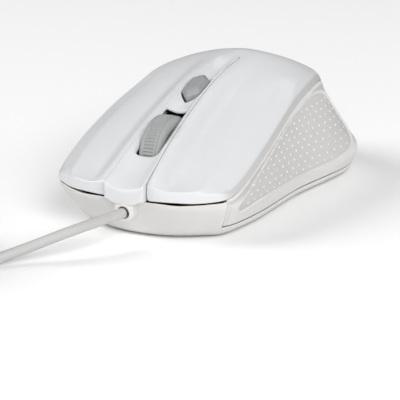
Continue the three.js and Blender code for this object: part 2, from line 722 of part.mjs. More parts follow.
// ---------------------------------------------------------------- inside

function circuitBoard() {
  const { half, front, rear, low, high } = BOARD;
  let board = box(-half, half, front, rear, low, high);
  board = board.subtract(box(-3, 3, -2, 6, low - 1, high + 1));
  board = board.subtract(box(-5, 5, WHEEL.y - 6, WHEEL.y + 6, low - 1, high + 1));
  [-1, 1].forEach((sign) => {
    board = board.subtract(rod(SCREW_HOLE, 0, 10, 16).translate(sign * BOARD_SCREW.x, BOARD_SCREW.y, 0));
  });
  return board;
}

function switchBody(x, y) {
  const block = box(x - 2.9, x + 2.9, y - 6.4, y + 6.4, PART_SEAT, SWITCH_TOP);
  return block.subtract(rod(1.2, SWITCH_TOP - 2, SWITCH_TOP + 1, 12).translate(x, y, 0));
}

const plunger = (x, y) => rod(0.9, SWITCH_TOP - 1.4, SWITCH_TOP + PLUNGER_RISE, 12).translate(x, y, 0);

function tactSwitch() {
  const top = PART_SEAT + 4.3;
  const block = box(-3, 3, BUTTON.y - 3, BUTTON.y + 3, PART_SEAT, top);
  return block.subtract(rod(2, top - 1.5, top + 1, 14).translate(0, BUTTON.y, 0));
}

const tactPlunger = () => rod(1.7, PART_SEAT + 3.3, PART_SEAT + 5.2, 14).translate(0, BUTTON.y, 0);

const opticalSensor = () => box(-5, 5, -4, 8, PART_SEAT, PART_SEAT + 4.2);

function sensorLens() {
  const plate = box(-6, 6, -6, 10, 2.9, BOARD.low - GAP);
  return plate.add(rod(3, 1.2, 3.4, 20).translate(0, 2, 0));
}

function sensorLight() {
  return alongY(turned([[0, -4], [2.9, -4], [2.9, -3], [2.4, -3], [2.4, 2], [1.7, 3.7], [0, 4.4]], 16))
    .translate(0, 14.5, PART_SEAT + 3.3);
}

function lightClip() {
  const outer = box(-4, 4, 12.5, 16.5, PART_SEAT, PART_SEAT + 7);
  return outer.subtract(box(-2.9, 2.9, 12, 17, PART_SEAT - 1, PART_SEAT + 6.1));
}

function cordHeader() {
  const block = box(-17, -9, -24, -18, PART_SEAT, PART_SEAT + 6);
  return block.subtract(box(-16, -10, -23, -19, PART_SEAT + 2, PART_SEAT + 8));
}

const capacitor = () => rod(2.5, PART_SEAT, PART_SEAT + 7.5, 20).translate(12, -18, 0);

// A cross-head screw: tip, seat and top of the head as heights, head towards the given way.
function screw(x, y, tip, seat, top) {
  const low = Math.min(tip, seat);
  const shank = rod(SCREW_RADIUS, low, Math.max(tip, seat), 14);
  const head = rod(2.6, Math.min(seat, top), Math.max(seat, top), 18);
  const [deep, out] = top > seat ? [top - 0.7, top + 1] : [top - 1, top + 0.7];
  const cross = box(-1.5, 1.5, -0.3, 0.3, deep, out).add(box(-0.3, 0.3, -1.5, 1.5, deep, out));
  return shank.add(head).subtract(cross).translate(x, y, 0);
}

// ---------------------------------------------------------------- strain relief, cord and plug

function glandBlock(grow) {
  const { half, top, front, rear, z } = GLAND;
  const radius = half + grow;
  const shape = new THREE.Shape();
  shape.moveTo(radius, top + grow);
  shape.lineTo(-radius, top + grow);
  shape.absarc(0, z, radius, Math.PI, 2 * Math.PI, false);
  shape.closePath();
  return upright(shape, -grow, rear - front, 8).rotate([90, 0, 0]).translate(0, rear, 0);
}

function strainRelief() {
  const bore = alongY(rod(CORD_RADIUS + GAP, -60, -40, 14)).translate(0, 0, GLAND.z);
  let block = glandBlock(0).subtract(bore);
  [-1, 1].forEach((sign) => {
    const x = sign * 1.1;
    block = block.subtract(box(x - 0.5, x + 0.5, -60, GLAND.front + 1.5, 11.5, 13));
  });
  return block;
}

function cordTube() {
  const points = CORD_ROUTE.map((point) => new THREE.Vector3(...point));
  const section = new THREE.Shape(spread(0, 1, 8).slice(0, -1).map((turn) => new THREE.Vector2(
    CORD_RADIUS * Math.cos(2 * Math.PI * (turn + 1 / 16)),
    CORD_RADIUS * Math.sin(2 * Math.PI * (turn + 1 / 16)),
  )));
  const extrudePath = new THREE.CatmullRomCurve3(points);
  return solid(new THREE.ExtrudeGeometry(section, { steps: 12, extrudePath }));
}

function cordCoil() {
  const { mean, half, low, high } = COIL;
  const ringProfile = [
    [mean - half, low], [mean + half, low], [mean + half, high], [mean - half, high], [mean - half, low],
  ];
  return turned(ringProfile, 40).translate(COIL.x, COIL.y, 0);
}

function cordTie() {
  const { mean, half, low, high } = COIL;
  const wall = 0.5;
  const inside = mean - half - 0.7;
  const outside = mean + half + GAP;
  const outer = box(inside - wall, outside + wall, -2.5, 2.5, low - GAP - wall, high + GAP + wall);
  const inner = box(inside, outside, -3, 3, low - GAP, high + GAP);
  return outer.subtract(inner).rotate([0, 0, 215]).translate(COIL.x, COIL.y, 0);
}

// The plug lies across the coil; its own axis is X until it is placed.
const PLUG = { x: COIL.x + 1, y: COIL.y, z: COIL.high + GAP + 4.1, turn: 125 };
const placePlug = (piece) => piece.rotate([0, 0, PLUG.turn]).translate(PLUG.x, PLUG.y, PLUG.z);

function plugOvermould() {
  const outline = [
    [-4.1, -4.8], [-2.9, -6.4], [2.9, -6.4], [4.1, -4.8], [4.1, 4.8], [2.9, 6.4], [-2.9, 6.4], [-4.1, 4.8],
  ];
  const levels = [[-20, 0.62], [-17, 0.92], [-15, 1], [0, 1]];
  return placePlug(stacked(outline, levels).rotate([0, 90, 0]));
}

function plugShell() {
  const block = box(0.3, 12.3, -6, 6, -2.25, 2.25);
  return placePlug(block.subtract(box(1, 13, -5.7, 5.7, -1.95, 1.95)));
}

const plugTongue = () => placePlug(box(1.3, 11.8, -5.4, 5.4, -0.3, 1.6));

// ---------------------------------------------------------------- assembly

const group = new THREE.Group();
group.name = 'optical_mouse';

function addNode(name, piece, colour) {
  const { vertProperties, triVerts } = piece.getMesh();
  const geometry = meshFrom(Array.from(vertProperties), Array.from(triVerts));
  geometry.computeVertexNormals();
  const mesh = new THREE.Mesh(geometry, new THREE.MeshStandardMaterial({ ...COLOURS[colour] }));
  mesh.name = name;
  group.add(mesh);
}

addNode('base_shell', baseShell(), 'baseWhite');
addNode('palm_cover', palmCover(), 'coverWhite');
addNode('left_key', key(1), 'coverWhite');
addNode('right_key', key(-1), 'coverWhite');
addNode('centre_strip', centreStrip(), 'coverWhite');
addNode('thumb_side_panel', sidePanel(1), 'baseWhite');
addNode('outer_side_panel', sidePanel(-1), 'baseWhite');
addNode('thumb_grip_pad', gripPad(1, 0, -0.2, 0.9), 'gripWhite');
addNode('outer_grip_pad', gripPad(-1, 0, -0.2, 0.9), 'gripWhite');
addNode('dpi_button', button(), 'wheelGrey');
addNode('wheel_hub', wheelHub(), 'wheelGrey');
addNode('wheel_tyre', wheelTyre(), 'treadGrey');
addNode('wheel_axle', wheelAxle(), 'steel');
addNode('encoder_rotor', encoderRotor(), 'wheelGrey');
addNode('encoder_body', encoderBody(), 'black');
addNode('wheel_carrier', wheelCarrier(), 'glide');
addNode('circuit_board', circuitBoard(), 'board');

const SWITCHES = [
  ['left', SWITCH_X, SWITCH_Y],
  ['right', -SWITCH_X, SWITCH_Y],
  ['wheel', 8.9, WHEEL.y],
];
SWITCHES.forEach(([name, x, y]) => {
  addNode(`${name}_switch_body`, switchBody(x, y), 'black');
  addNode(`${name}_switch_plunger`, plunger(x, y), 'red');
});
addNode('dpi_switch_body', tactSwitch(), 'black');
addNode('dpi_switch_plunger', tactPlunger(), 'red');
addNode('optical_sensor', opticalSensor(), 'black');
addNode('sensor_lens', sensorLens(), 'clear');
addNode('sensor_led', sensorLight(), 'red');
addNode('led_clip', lightClip(), 'black');
addNode('cord_header', cordHeader(), 'coverWhite');
addNode('capacitor', capacitor(), 'black');

[-1, 1].forEach((sign) => {
  const name = sign > 0 ? 'left' : 'right';
  addNode(`base_screw_${name}`, screw(sign * BOSS.x, BOSS.y, 16, 2.9, 1.2), 'steel');
  const seat = BOARD.high + GAP;
  addNode(`board_screw_${name}`, screw(sign * BOARD_SCREW.x, BOARD_SCREW.y, 3.4, seat, seat + 1.6), 'steel');
});
addNode('front_glide_foot', glideFoot(FEET[0]), 'glide');
addNode('rear_glide_foot', glideFoot(FEET[1]), 'glide');
addNode('cord_strain_relief', strainRelief(), 'cordWhite');
addNode('cord', cordTube(), 'cordWhite');
addNode('cord_coil', cordCoil(), 'cordWhite');
addNode('cord_tie', cordTie(), 'black');
addNode('usb_overmould', plugOvermould(), 'cordWhite');
addNode('usb_shell', plugShell(), 'steel');
addNode('usb_tongue', plugTongue(), 'coverWhite');

export default group;
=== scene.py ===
"""The looks of a wired optical mouse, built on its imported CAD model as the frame.

The shapes below are worked out in millimetres and turned into metres when a mesh is made.
+Z is up, -Y is the front, where the cord leaves, and +X is the thumb side.
"""
import json
import math

import bpy
import numpy as np
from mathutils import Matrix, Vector
from mathutils.geometry import delaunay_2d_cdt
from mathutils.kdtree import KDTree


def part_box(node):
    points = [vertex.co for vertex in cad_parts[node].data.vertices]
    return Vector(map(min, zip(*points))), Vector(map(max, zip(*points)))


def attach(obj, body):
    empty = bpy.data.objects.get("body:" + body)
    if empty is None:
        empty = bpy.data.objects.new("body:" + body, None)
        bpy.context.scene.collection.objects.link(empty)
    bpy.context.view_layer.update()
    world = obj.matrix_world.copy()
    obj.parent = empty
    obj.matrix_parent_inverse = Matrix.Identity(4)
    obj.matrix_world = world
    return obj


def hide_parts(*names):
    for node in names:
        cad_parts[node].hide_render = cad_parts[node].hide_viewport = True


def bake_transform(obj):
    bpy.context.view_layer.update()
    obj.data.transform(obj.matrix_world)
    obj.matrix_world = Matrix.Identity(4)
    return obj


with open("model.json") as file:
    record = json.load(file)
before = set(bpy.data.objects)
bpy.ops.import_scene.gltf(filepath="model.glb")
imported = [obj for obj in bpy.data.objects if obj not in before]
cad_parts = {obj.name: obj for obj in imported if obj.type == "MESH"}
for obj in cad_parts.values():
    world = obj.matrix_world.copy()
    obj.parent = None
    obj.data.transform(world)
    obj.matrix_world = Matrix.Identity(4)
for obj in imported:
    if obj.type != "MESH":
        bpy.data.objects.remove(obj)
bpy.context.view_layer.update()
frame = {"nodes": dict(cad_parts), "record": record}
scene = bpy.context.scene

MM = 0.001
BODY = "case"

# ---------------------------------------------------------------- camera

VIEW_AZIMUTH = math.radians(24.9)
VIEW_HEIGHT = math.radians(14.4)
VIEW_DISTANCE = 418.6
VIEW_TARGET = Vector((0, 0, 18))
LENS = 124.7
VIEW_SHIFT = (-0.0302, -0.1666)


def add_camera():
    """The viewing angle: from the front, a little to the thumb side and above."""
    back = Vector((
        math.sin(VIEW_AZIMUTH) * math.cos(VIEW_HEIGHT),
        -math.cos(VIEW_AZIMUTH) * math.cos(VIEW_HEIGHT),
        math.sin(VIEW_HEIGHT),
    ))
    data = bpy.data.cameras.new("camera")
    data.lens = LENS
    data.sensor_width = 36
    data.shift_x, data.shift_y = VIEW_SHIFT
    data.clip_end = 20
    camera = bpy.data.objects.new("camera", data)
    camera.location = (VIEW_TARGET + back * VIEW_DISTANCE) * MM
    camera.rotation_mode = "QUATERNION"
    camera.rotation_quaternion = (-back).to_track_quat("-Z", "Y")
    scene.collection.objects.link(camera)
    scene.camera = camera


add_camera()

# ---------------------------------------------------------------- the body's lines

GAP = 0.3
POLE_Y = 18
PANEL_SEAM = 0.3
PANEL_LOW = 0.352
CORNER_SEAM = 0.338
TAIL_SEAM = 0.835
FLOOR_LOW = 0.7
CREST_X = 21.2
DISH_DEPTH = 2.2

# Half outlines of the body, x y z, from the front middle round to the rear middle.
SOLE = [
    (0, -48, 0.7), (9, -46.7, 0.7), (17, -42.7, 0.7), (22.2, -38, 0.7), (25.3, -22.5, 0.7),
    (26.6, 3, 0.7), (31, 35, 0.7), (22.5, 47.5, 0.7), (0, 51.5, 0.7),
]
HIP = [
    (0, -54, 10), (12, -53, 10), (21, -49.2, 10), (27, -42.5, 10), (28.5, -24, 9.5),
    (29.5, 2.5, 9), (34.6, 34, 9), (24.2, 52.8, 9), (0, 58, 9.5),
]
SHOULDER = [
    (0, -55, 13), (12, -54, 13), (21.5, -50.2, 13), (27.3, -43.5, 14.5), (28.5, -25, 21.5),
    (27, 0, 29), (24, 27.5, 31.5), (16.5, 44.5, 23), (0, 54, 19),
]
# The top's own sheet, before the outline trims it: its side edge, and where each section
# meets the middle line.
TOP_SIDE = [
    (27.6, -60, 13.5), (27.5, -55, 14.3), (27.4, -50, 15.4), (27.3, -43.5, 17.1), (28.5, -25, 24.3),
    (27, 0, 31.6), (24, 27.5, 33), (16.5, 44.5, 23.6), (0, 54, 19),
]
TOP_MIDDLE = [(0, y) for y in (-60, -55, -50, -44, -26, -3, 15, POLE_Y, POLE_Y)]
CROWN = [(-55, 17.2), (-40, 24.7), (-22, 31.6), (-4, 36.9), (POLE_Y, 40.5)]
STRIP_HALF = [(-56, 6), (-15, 4.1), (16, 3.3)]
STRIP_END = 13.6


def smooth_step(value, low, high):
    t = np.clip((value - low) / (high - low), 0, 1)
    return t * t * (3 - 2 * t)


def catmull_rom(a, b, c, d, f):
    """Point at share f of the way from b to c."""
    square = (2 * a - 5 * b + 4 * c - d) * f**2
    return 0.5 * (2 * b + (c - a) * f + square + (3 * b - a - 3 * c + d) * f**3)


def along(stations, t):
    """Catmull-Rom through a half outline's stations, mirrored in X past both ends."""
    points = np.array(stations, float)
    mirror = np.ones(points.shape[1])
    mirror[0] = -1
    padded = np.vstack([points[1] * mirror, points, points[-2] * mirror])
    place = np.clip(t, 0, 1) * (len(points) - 1)
    index = np.minimum(place.astype(int), len(points) - 2)
    f = (place - index)[..., None]
    return catmull_rom(*(padded[index + k] for k in range(4)), f)


def through(points, x):
    """Smooth curve through points of x and y, straight past its ends."""
    knots = np.array(points, float)
    slopes = np.diff(knots[:, 1]) / np.diff(knots[:, 0])
    tangents = np.concatenate([slopes[:1], (slopes[:-1] + slopes[1:]) / 2, slopes[-1:]])
    x = np.asarray(x, float)
    i = np.clip(np.searchsorted(knots[:, 0], x) - 1, 0, len(slopes) - 1)
    span = knots[i + 1, 0] - knots[i, 0]
    t = np.clip((x - knots[i, 0]) / span, 0, 1)
    rise = knots[i + 1, 1] - knots[i, 1]
    bend = (t - 2 * t**2 + t**3) * tangents[i] + (t**3 - t**2) * tangents[i + 1]
    inside = knots[i, 1] + (3 * t**2 - 2 * t**3) * rise + bend * span
    below = np.minimum(x - knots[0, 0], 0) * tangents[0]
    above = np.maximum(x - knots[-1, 0], 0) * tangents[-1]
    return inside + below + above


def crown(y):
    return through(CROWN, np.minimum(y, POLE_Y))


def strip_half(y):
    return np.minimum(through(STRIP_HALF, y), 6)


def ring(stations, s, inset):
    """Points of a half outline, moved inwards in plan."""
    s = np.asarray(s, float)
    point = along(stations, s)
    run = along(stations, np.minimum(s + 0.004, 1)) - along(stations, np.maximum(s - 0.004, 0))
    size = np.hypot(run[..., 0], run[..., 1])
    moved = point.copy()
    moved[..., 0] = np.maximum(point[..., 0] - inset * run[..., 1] / size, 0)
    moved[..., 1] = point[..., 1] + inset * run[..., 0] / size
    return moved


# ---------------------------------------------------------------- the top's height

TABLE = np.linspace(0, 1, 281)
SEAM = along(SHOULDER, TABLE)
SHEET_SIDE = along(TOP_SIDE, TABLE)
SHEET_MIDDLE = np.minimum(along(TOP_MIDDLE, TABLE)[:, 1], POLE_Y)


def in_parts(function, x, y, size=3000):
    """Runs a function of plan points in parts, so its tables stay small."""
    parts = [function(x[i:i + size], y[i:i + size]) for i in range(0, len(x), size)]
    return [np.concatenate(columns) for columns in zip(*parts)]


def nearest_seam(x, y):
    """Distance of plan points from the cover's outline, and the station there."""
    start = SEAM[:-1, :2]
    run = SEAM[1:, :2] - start
    point = np.stack([np.abs(x), y], 1)[:, None, :]
    f = np.clip(((point - start) * run).sum(2) / (run**2).sum(1), 0, 1)
    away = point - start - f[..., None] * run
    distance = np.hypot(away[..., 0], away[..., 1])
    best = distance.argmin(1)
    rows = np.arange(len(x))
    step = TABLE[1] - TABLE[0]
    return distance[rows, best], TABLE[best] + f[rows, best] * step


def sheet_place(x, y):
    """Station and share of the way out, on the top's own sheet, of plan points."""
    reach = np.abs(x)[:, None]
    side_x = np.maximum(SHEET_SIDE[:, 0], 1e-6)
    miss = SHEET_MIDDLE + (SHEET_SIDE[:, 1] - SHEET_MIDDLE) * reach / side_x - y[:, None]
    usable = SHEET_SIDE[:, 0] > reach * 0.85
    crossing = (miss[:, :-1] < 0) & (miss[:, 1:] >= 0) & usable[:, 1:]
    found = crossing.any(1)
    first = crossing.argmax(1)
    rows = np.arange(len(x))
    low, high = miss[rows, first], miss[rows, first + 1]
    f = np.where(found, -low / np.where(high == low, 1, high - low), 0)
    s = TABLE[first] + f * (TABLE[1] - TABLE[0])
    # Behind the pole the sections fan out from it, so the direction gives the station.
    angles = np.arctan2(SHEET_SIDE[:, 0], SHEET_SIDE[:, 1] - POLE_Y)
    turn = np.arctan2(np.abs(x), y - POLE_Y)
    rear = np.interp(turn, angles[::-1], TABLE[::-1])
    s = np.where((rear >= 7 / 8) | ~found, rear, s)
    edge = along(TOP_SIDE, s)
    middle = np.minimum(along(TOP_MIDDLE, s)[:, 1], POLE_Y)
    length = np.hypot(edge[:, 0], edge[:, 1] - middle)
    share = np.hypot(x, y - middle) / np.maximum(length, 1e-6)
    return s, share


def sheet(x, y):
    """Height of the top's own sheet."""
    s, share = in_parts(sheet_place, x, y)
    edge = along(TOP_SIDE, s)[:, 2]
    middle = crown(np.minimum(along(TOP_MIDDLE, s)[:, 1], POLE_Y))
    rear = smooth_step(s, 0.5, 0.85)
    reach = np.clip(share / 0.99, 0, 1)
    return edge + (middle - edge) * (1 - reach ** (2.2 - 0.3 * rear)) ** (1 / (1 + 0.34 * rear))


def dish(x, y):
    """How far the finger groove sinks the top: steep beside the strip, easing out to a crest."""
    across = (np.abs(x) - strip_half(y)) / (CREST_X - strip_half(y))
    shape = 1.25 * smooth_step(across, 0.08, 0.42) * (1 - np.clip(across, 0, 1) ** 2)
    return DISH_DEPTH * shape * (1 - smooth_step(y, -18, 24))


def band_slope(s):
    """Steepness of the cover's lowest band: upright at the front, a bevel along the sides."""
    front = 1 - smooth_step(s, 0.27, 0.36)
    rear = smooth_step(s, 0.76, 0.86)
    return 1.5 + 7.5 * np.maximum(front, rear)


# The crest between each key's groove and its bevel, x y z: along the top of the upright lip at
# the front, round the corner and back along the side, where it fades out.
CREST = [
    (3, -54.8, 17.8), (6.2, -54.6, 17), (9, -54.3, 16.2), (12, -53.8, 15.8), (16, -52.7, 15.8),
    (19, -51.1, 16), (20.2, -48.3, 17.1), (20.7, -44, 18.9), (21.1, -40, 20.5), (21.6, -33, 23),
    (22, -26, 25.4), (21.6, -16, 28.6), (21, -6, 31.2), (20.4, 4, 33.2),
]


def curve_through(points, per_span):
    """Catmull-Rom through points in a plane or in space."""
    points = np.array(points, float)
    padded = np.vstack([2 * points[0] - points[1], points, 2 * points[-1] - points[-2]])
    result = []
    for i in range(len(points) - 1):
        result += [catmull_rom(*padded[i:i + 4], k / per_span) for k in range(per_span)]
    result.append(points[-1])
    return np.array(result)


CREST_LINE = curve_through(CREST, 10)
# Height that the sheet must lose along the crest to meet it.
CREST_LOSS = sheet(*CREST_LINE[:, :2].T) - dish(*CREST_LINE[:, :2].T) - CREST_LINE[:, 2]


def from_crest(x, y):
    """Distance outside the crest, its height at the nearest point, and the sheet's local loss."""
    away = np.stack([np.abs(x), y], 1)[:, None, :] - CREST_LINE[:, :2]
    distance = np.hypot(away[..., 0], away[..., 1])
    rows, best = np.arange(len(x)), distance.argmin(1)
    run = np.gradient(CREST_LINE[:, :2], axis=0)[best]
    run /= np.linalg.norm(run, axis=1, keepdims=True)
    near = away[rows, best]
    ahead = (near * run).sum(1)
    outside = near[:, 0] * run[:, 1] - near[:, 1] * run[:, 0]
    step = np.gradient(CREST_LINE, axis=0)[best]
    height = CREST_LINE[best, 2] + ahead * step[:, 2] / np.hypot(step[:, 0], step[:, 1])
    weight = 1 / (distance**2 + 0.1) ** 2
    loss = (weight * CREST_LOSS).sum(1) / weight.sum(1)
    signed = np.where(np.abs(ahead) > np.abs(outside) * 3, np.sign(outside) * distance[rows, best], outside)
    return signed, height, loss


def soft_minimum(first, second, soft):
    low = np.minimum(first, second)
    return low - soft * np.log(np.exp(-(first - low) / soft) + np.exp(-(second - low) / soft))


def cover_height(x, y):
    """Height of the outside of the top over plan points."""
    distance, s = in_parts(nearest_seam, x, y)
    outside, crest, loss = in_parts(from_crest, x, y)
    fade = 1 - smooth_step(y, -10, 10)
    seam = np.interp(s, TABLE, SEAM[:, 2])
    pull = fade * loss * np.clip(1 + np.minimum(outside, 0) / 10, 0, 1) ** 2
    top = sheet(x, y) - dish(x, y) - pull
    lift = 2 - smooth_step(s, 0.27, 0.37)
    share = np.clip(distance / np.maximum(distance + outside, 0.2), 0, 1.5)
    bevel = seam + lift + (crest - seam - lift) * share
    top += (bevel - top) * fade * smooth_step(outside, -0.5, 0.5)
    soft = 0.14 + 0.1 * smooth_step(s, 0.2, 0.4)
    return soft_minimum(top, seam + band_slope(s) * distance, soft)


# ---------------------------------------------------------------- the walls

def wall_point(s, level, inset):
    """From the sole (level 0) past the rounded hip (1) to the shoulder (2)."""
    sole, hip, shoulder = (ring(line, s, inset) for line in (SOLE, HIP, SHOULDER))
    level = np.asarray(level, float)[..., None]
    half = (0.3 + 0.25 * smooth_step(s, 0.8, 0.95))[..., None]

    def straight(at):
        low = sole + (hip - sole) * np.clip(at, 0, 1)
        return low + (shoulder - hip) * np.clip(at - 1, 0, 1)

    t = np.clip((level - 1 + half) / (2 * half), 0, 1)
    low, high = straight(1 - half), straight(1 + half)
    curved = low * (1 - t) ** 2 + 2 * hip * t * (1 - t) + high * t**2
    return np.where(np.abs(level - 1) >= half, straight(level), curved)


def body_point(side, level, inset=0.0):
    """The walls' outside. side: -1 and 1 are the rear middle and 0 the front middle."""
    side, level = np.broadcast_arrays(np.asarray(side, float), np.asarray(level, float))
    s = np.abs(side)
    waist = 1.1 * np.sin(np.pi * np.clip(level - 1, 0, 1)) * smooth_step(s, 0.35, 0.55)
    point = wall_point(s, level, inset).copy()
    point[..., 0] = np.sign(side) * np.maximum(point[..., 0] - waist, 0)
    return point


def wall_normal(side, level):
    """Outward direction of the walls."""
    step = 0.004
    around = body_point(side + step, level) - body_point(side - step, level)
    upward = body_point(side, level + step) - body_point(side, level - step)
    normal = np.cross(around, upward)
    return normal / np.linalg.norm(normal, axis=-1, keepdims=True)


# ---------------------------------------------------------------- making meshes

def new_object(name, vertices, faces, body=BODY, smooth=True):
    """A mesh object from millimetre points, riding on a body."""
    mesh = bpy.data.meshes.new(name)
    mesh.from_pydata((np.asarray(vertices, float) * MM).tolist(), [], faces)
    mesh.update()
    mesh.polygons.foreach_set("use_smooth", [smooth] * len(mesh.polygons))
    piece = bpy.data.objects.new(name, mesh)
    scene.collection.objects.link(piece)
    if body:
        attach(piece, body)
    return piece


def grid_faces(rows, columns, start=0, closed=False, flip=False):
    """Quads between rows of points; closed joins each row's end to its start."""
    faces = []
    for i in range(rows - 1):
        for j in range(columns if closed else columns - 1):
            a = start + i * columns + j
            b = start + i * columns + (j + 1) % columns
            quad = (a, b, b + columns, a + columns)
            faces.append(quad[::-1] if flip else quad)
    return faces


def offset(loop, distance):
    """A closed plan loop moved to its left by a distance."""
    before = loop - np.roll(loop, 1, 0)
    after = np.roll(loop, -1, 0) - loop
    before /= np.linalg.norm(before, axis=1, keepdims=True)
    after /= np.linalg.norm(after, axis=1, keepdims=True)
    middle = before + after
    middle /= np.linalg.norm(middle, axis=1, keepdims=True)
    lean = np.maximum((middle * after).sum(1, keepdims=True), 0.5)
    normal = np.stack([-middle[:, 1], middle[:, 0]], 1)
    return loop + normal * distance / lean


def loop_distance(points, loop):
    """Distance of plan points from a closed loop."""
    run = np.roll(loop, -1, 0) - loop
    result = []
    for part in np.array_split(points, max(1, len(points) * len(loop) // 2000000)):
        rel = part[:, None, :] - loop
        f = np.clip((rel * run).sum(2) / (run**2).sum(1), 0, 1)
        away = rel - f[..., None] * run
        result.append(np.hypot(away[..., 0], away[..., 1]).min(1))
    return np.concatenate(result)


def inside_loop(points, loop):
    """Whether plan points lie inside a closed loop."""
    ahead = np.roll(loop, -1, 0)
    result = []
    for part in np.array_split(points, max(1, len(points) * len(loop) // 2000000)):
        x, y = part[:, :1], part[:, 1:]
        straddles = (loop[:, 1] > y) != (ahead[:, 1] > y)
        rise = np.where(ahead[:, 1] == loop[:, 1], 1, ahead[:, 1] - loop[:, 1])
        cross = loop[:, 0] + (y - loop[:, 1]) * (ahead[:, 0] - loop[:, 0]) / rise
        result.append((straddles & (x < cross)).sum(1) % 2 == 1)
    return np.concatenate(result)


def resample(points, spacing, closed=True):
    """Points evenly spaced along a line, keeping its first point."""
    points = np.asarray(points, float)
    line = np.vstack([points, points[:1]]) if closed else points
    steps = np.concatenate([[0], np.cumsum(np.linalg.norm(np.diff(line, axis=0), axis=1))])
    count = max(3, round(steps[-1] / spacing))
    at = np.linspace(0, steps[-1], count + 1)
    even = np.stack([np.interp(at, steps, line[:, k]) for k in range(line.shape[1])], 1)
    return even[:-1] if closed else even


EDGE_ROWS = (0, 0.03, 0.08, 0.15, 0.23, 0.32)


def patch(name, loops, place, spacing=1.0, insets=EDGE_ROWS, skirt=None, body=BODY, flip=False):
    """A smooth sheet over a flat region, put in space by place(points, distance from edge).

    loops: the outline first, counter-clockwise, then the holes, clockwise. skirt(loop number,
    edge points in space, flat edge points) gives further rows of points that hang from the edge.
    """
    points, edges, counts = [], [], []
    for loop in loops:
        for inset in insets:
            moved = loop if inset == 0 else offset(loop, inset)
            keep = np.ones(len(moved), bool)
            if inset > 0:
                nearest = np.min([loop_distance(moved, other) for other in loops], axis=0)
                keep = nearest > inset * 0.97
            index = np.cumsum(keep) - 1 + len(points)
            for i in range(len(moved)):
                j = (i + 1) % len(moved)
                if keep[i] and keep[j]:
                    edges.append((int(index[i]), int(index[j])))
            points.extend(moved[keep].tolist())
            if inset == 0:
                counts.append((len(points) - len(moved), len(moved)))
    low, high = loops[0].min(0), loops[0].max(0)
    columns = np.arange(low[0], high[0], spacing)
    rows = np.arange(low[1], high[1], spacing * 0.866)
    middle = [(x + (k % 2) * spacing / 2, y) for k, y in enumerate(rows) for x in columns]
    middle = np.array(middle)
    clear = np.min([loop_distance(middle, loop) for loop in loops], axis=0)
    keep = inside_loop(middle, loops[0]) & (clear > insets[-1] + 0.55 * spacing)
    for hole in loops[1:]:
        keep &= ~inside_loop(middle, hole)
    points.extend(middle[keep].tolist())
    made = delaunay_2d_cdt([Vector(p) for p in points], edges, [], 0, 1e-7, True)
    flat = np.array([tuple(v) for v in made[0]])
    faces = [tuple(face) for face in made[2]]
    centres = np.array([flat[list(face)].mean(0) for face in faces])
    inside = inside_loop(centres, loops[0])
    for hole in loops[1:]:
        inside &= ~inside_loop(centres, hole)
    faces = [face for face, kept in zip(faces, inside) if kept]
    distance = np.min([loop_distance(flat, loop) for loop in loops], axis=0)
    vertices = place(flat, distance).tolist()
    source = {old: new for new, olds in enumerate(made[3]) for old in olds}
    if skirt:
        for number, (start, count) in enumerate(counts):
            edge = [source[start + i] for i in range(count)]
            rim = np.array([vertices[i] for i in edge])
            for chosen, rows_below in skirt(number, rim, loops[number]):
                previous = edge
                for row in rows_below:
                    fresh = list(range(len(vertices), len(vertices) + count))
                    vertices.extend(np.asarray(row).tolist())
                    for i in range(count):
                        j = (i + 1) % count
                        if chosen[i] or chosen[j]:
                            faces.append((previous[j], previous[i], fresh[i], fresh[j]))
                    previous = fresh
    if flip:
        faces = [face[::-1] for face in faces]
    return new_object(name, vertices, faces, body)


def edge_drop(distance, radius):
    """Depth of a rounded edge below the surface, by distance from the edge."""
    short = np.clip(radius - distance, 0, radius)
    return radius - np.sqrt(np.maximum(radius**2 - short**2, 0))


# ---------------------------------------------------------------- materials

def plain_material(name, colour, roughness, metallic=0.0):
    """A principled material and its shader node."""
    material = bpy.data.materials.new(name)
    material.use_nodes = True
    shader = material.node_tree.nodes["Principled BSDF"]
    shader.inputs["Base Color"].default_value = (*colour, 1)
    shader.inputs["Roughness"].default_value = roughness
    shader.inputs["Metallic"].default_value = metallic
    return material, shader


def add_noise(material, scale, detail=3.0):
    """A noise texture in the object's own space, in metres."""
    nodes, links = material.node_tree.nodes, material.node_tree.links
    place = nodes.new("ShaderNodeTexCoord")
    noise = nodes.new("ShaderNodeTexNoise")
    noise.inputs["Scale"].default_value = scale
    noise.inputs["Detail"].default_value = detail
    links.new(place.outputs["Object"], noise.inputs["Vector"])
    return noise.outputs["Fac"]


def remap(material, value, low, high):
    """Spreads a noise value over a range."""
    node = material.node_tree.nodes.new("ShaderNodeMapRange")
    node.inputs["From Min"].default_value = 0.3
    node.inputs["From Max"].default_value = 0.7
    node.inputs["To Min"].default_value = low
    node.inputs["To Max"].default_value = high
    material.node_tree.links.new(value, node.inputs["Value"])
    return node.outputs["Result"]


def tint(material, shader, value, first, second):
    """Colour that drifts between two tones."""
    node = material.node_tree.nodes.new("ShaderNodeMix")
    node.data_type = "RGBA"
    node.inputs[6].default_value = (*first, 1)
    node.inputs[7].default_value = (*second, 1)
    material.node_tree.links.new(value, node.inputs[0])
    material.node_tree.links.new(node.outputs[2], shader.inputs["Base Color"])


def add_bump(material, shader, value, depth, strength=1.0):
    """Fine relief, its depth in metres."""
    bump = material.node_tree.nodes.new("ShaderNodeBump")
    bump.inputs["Strength"].default_value = strength
    bump.inputs["Distance"].default_value = depth
    material.node_tree.links.new(value, bump.inputs["Height"])
    material.node_tree.links.new(bump.outputs["Normal"], shader.inputs["Normal"])


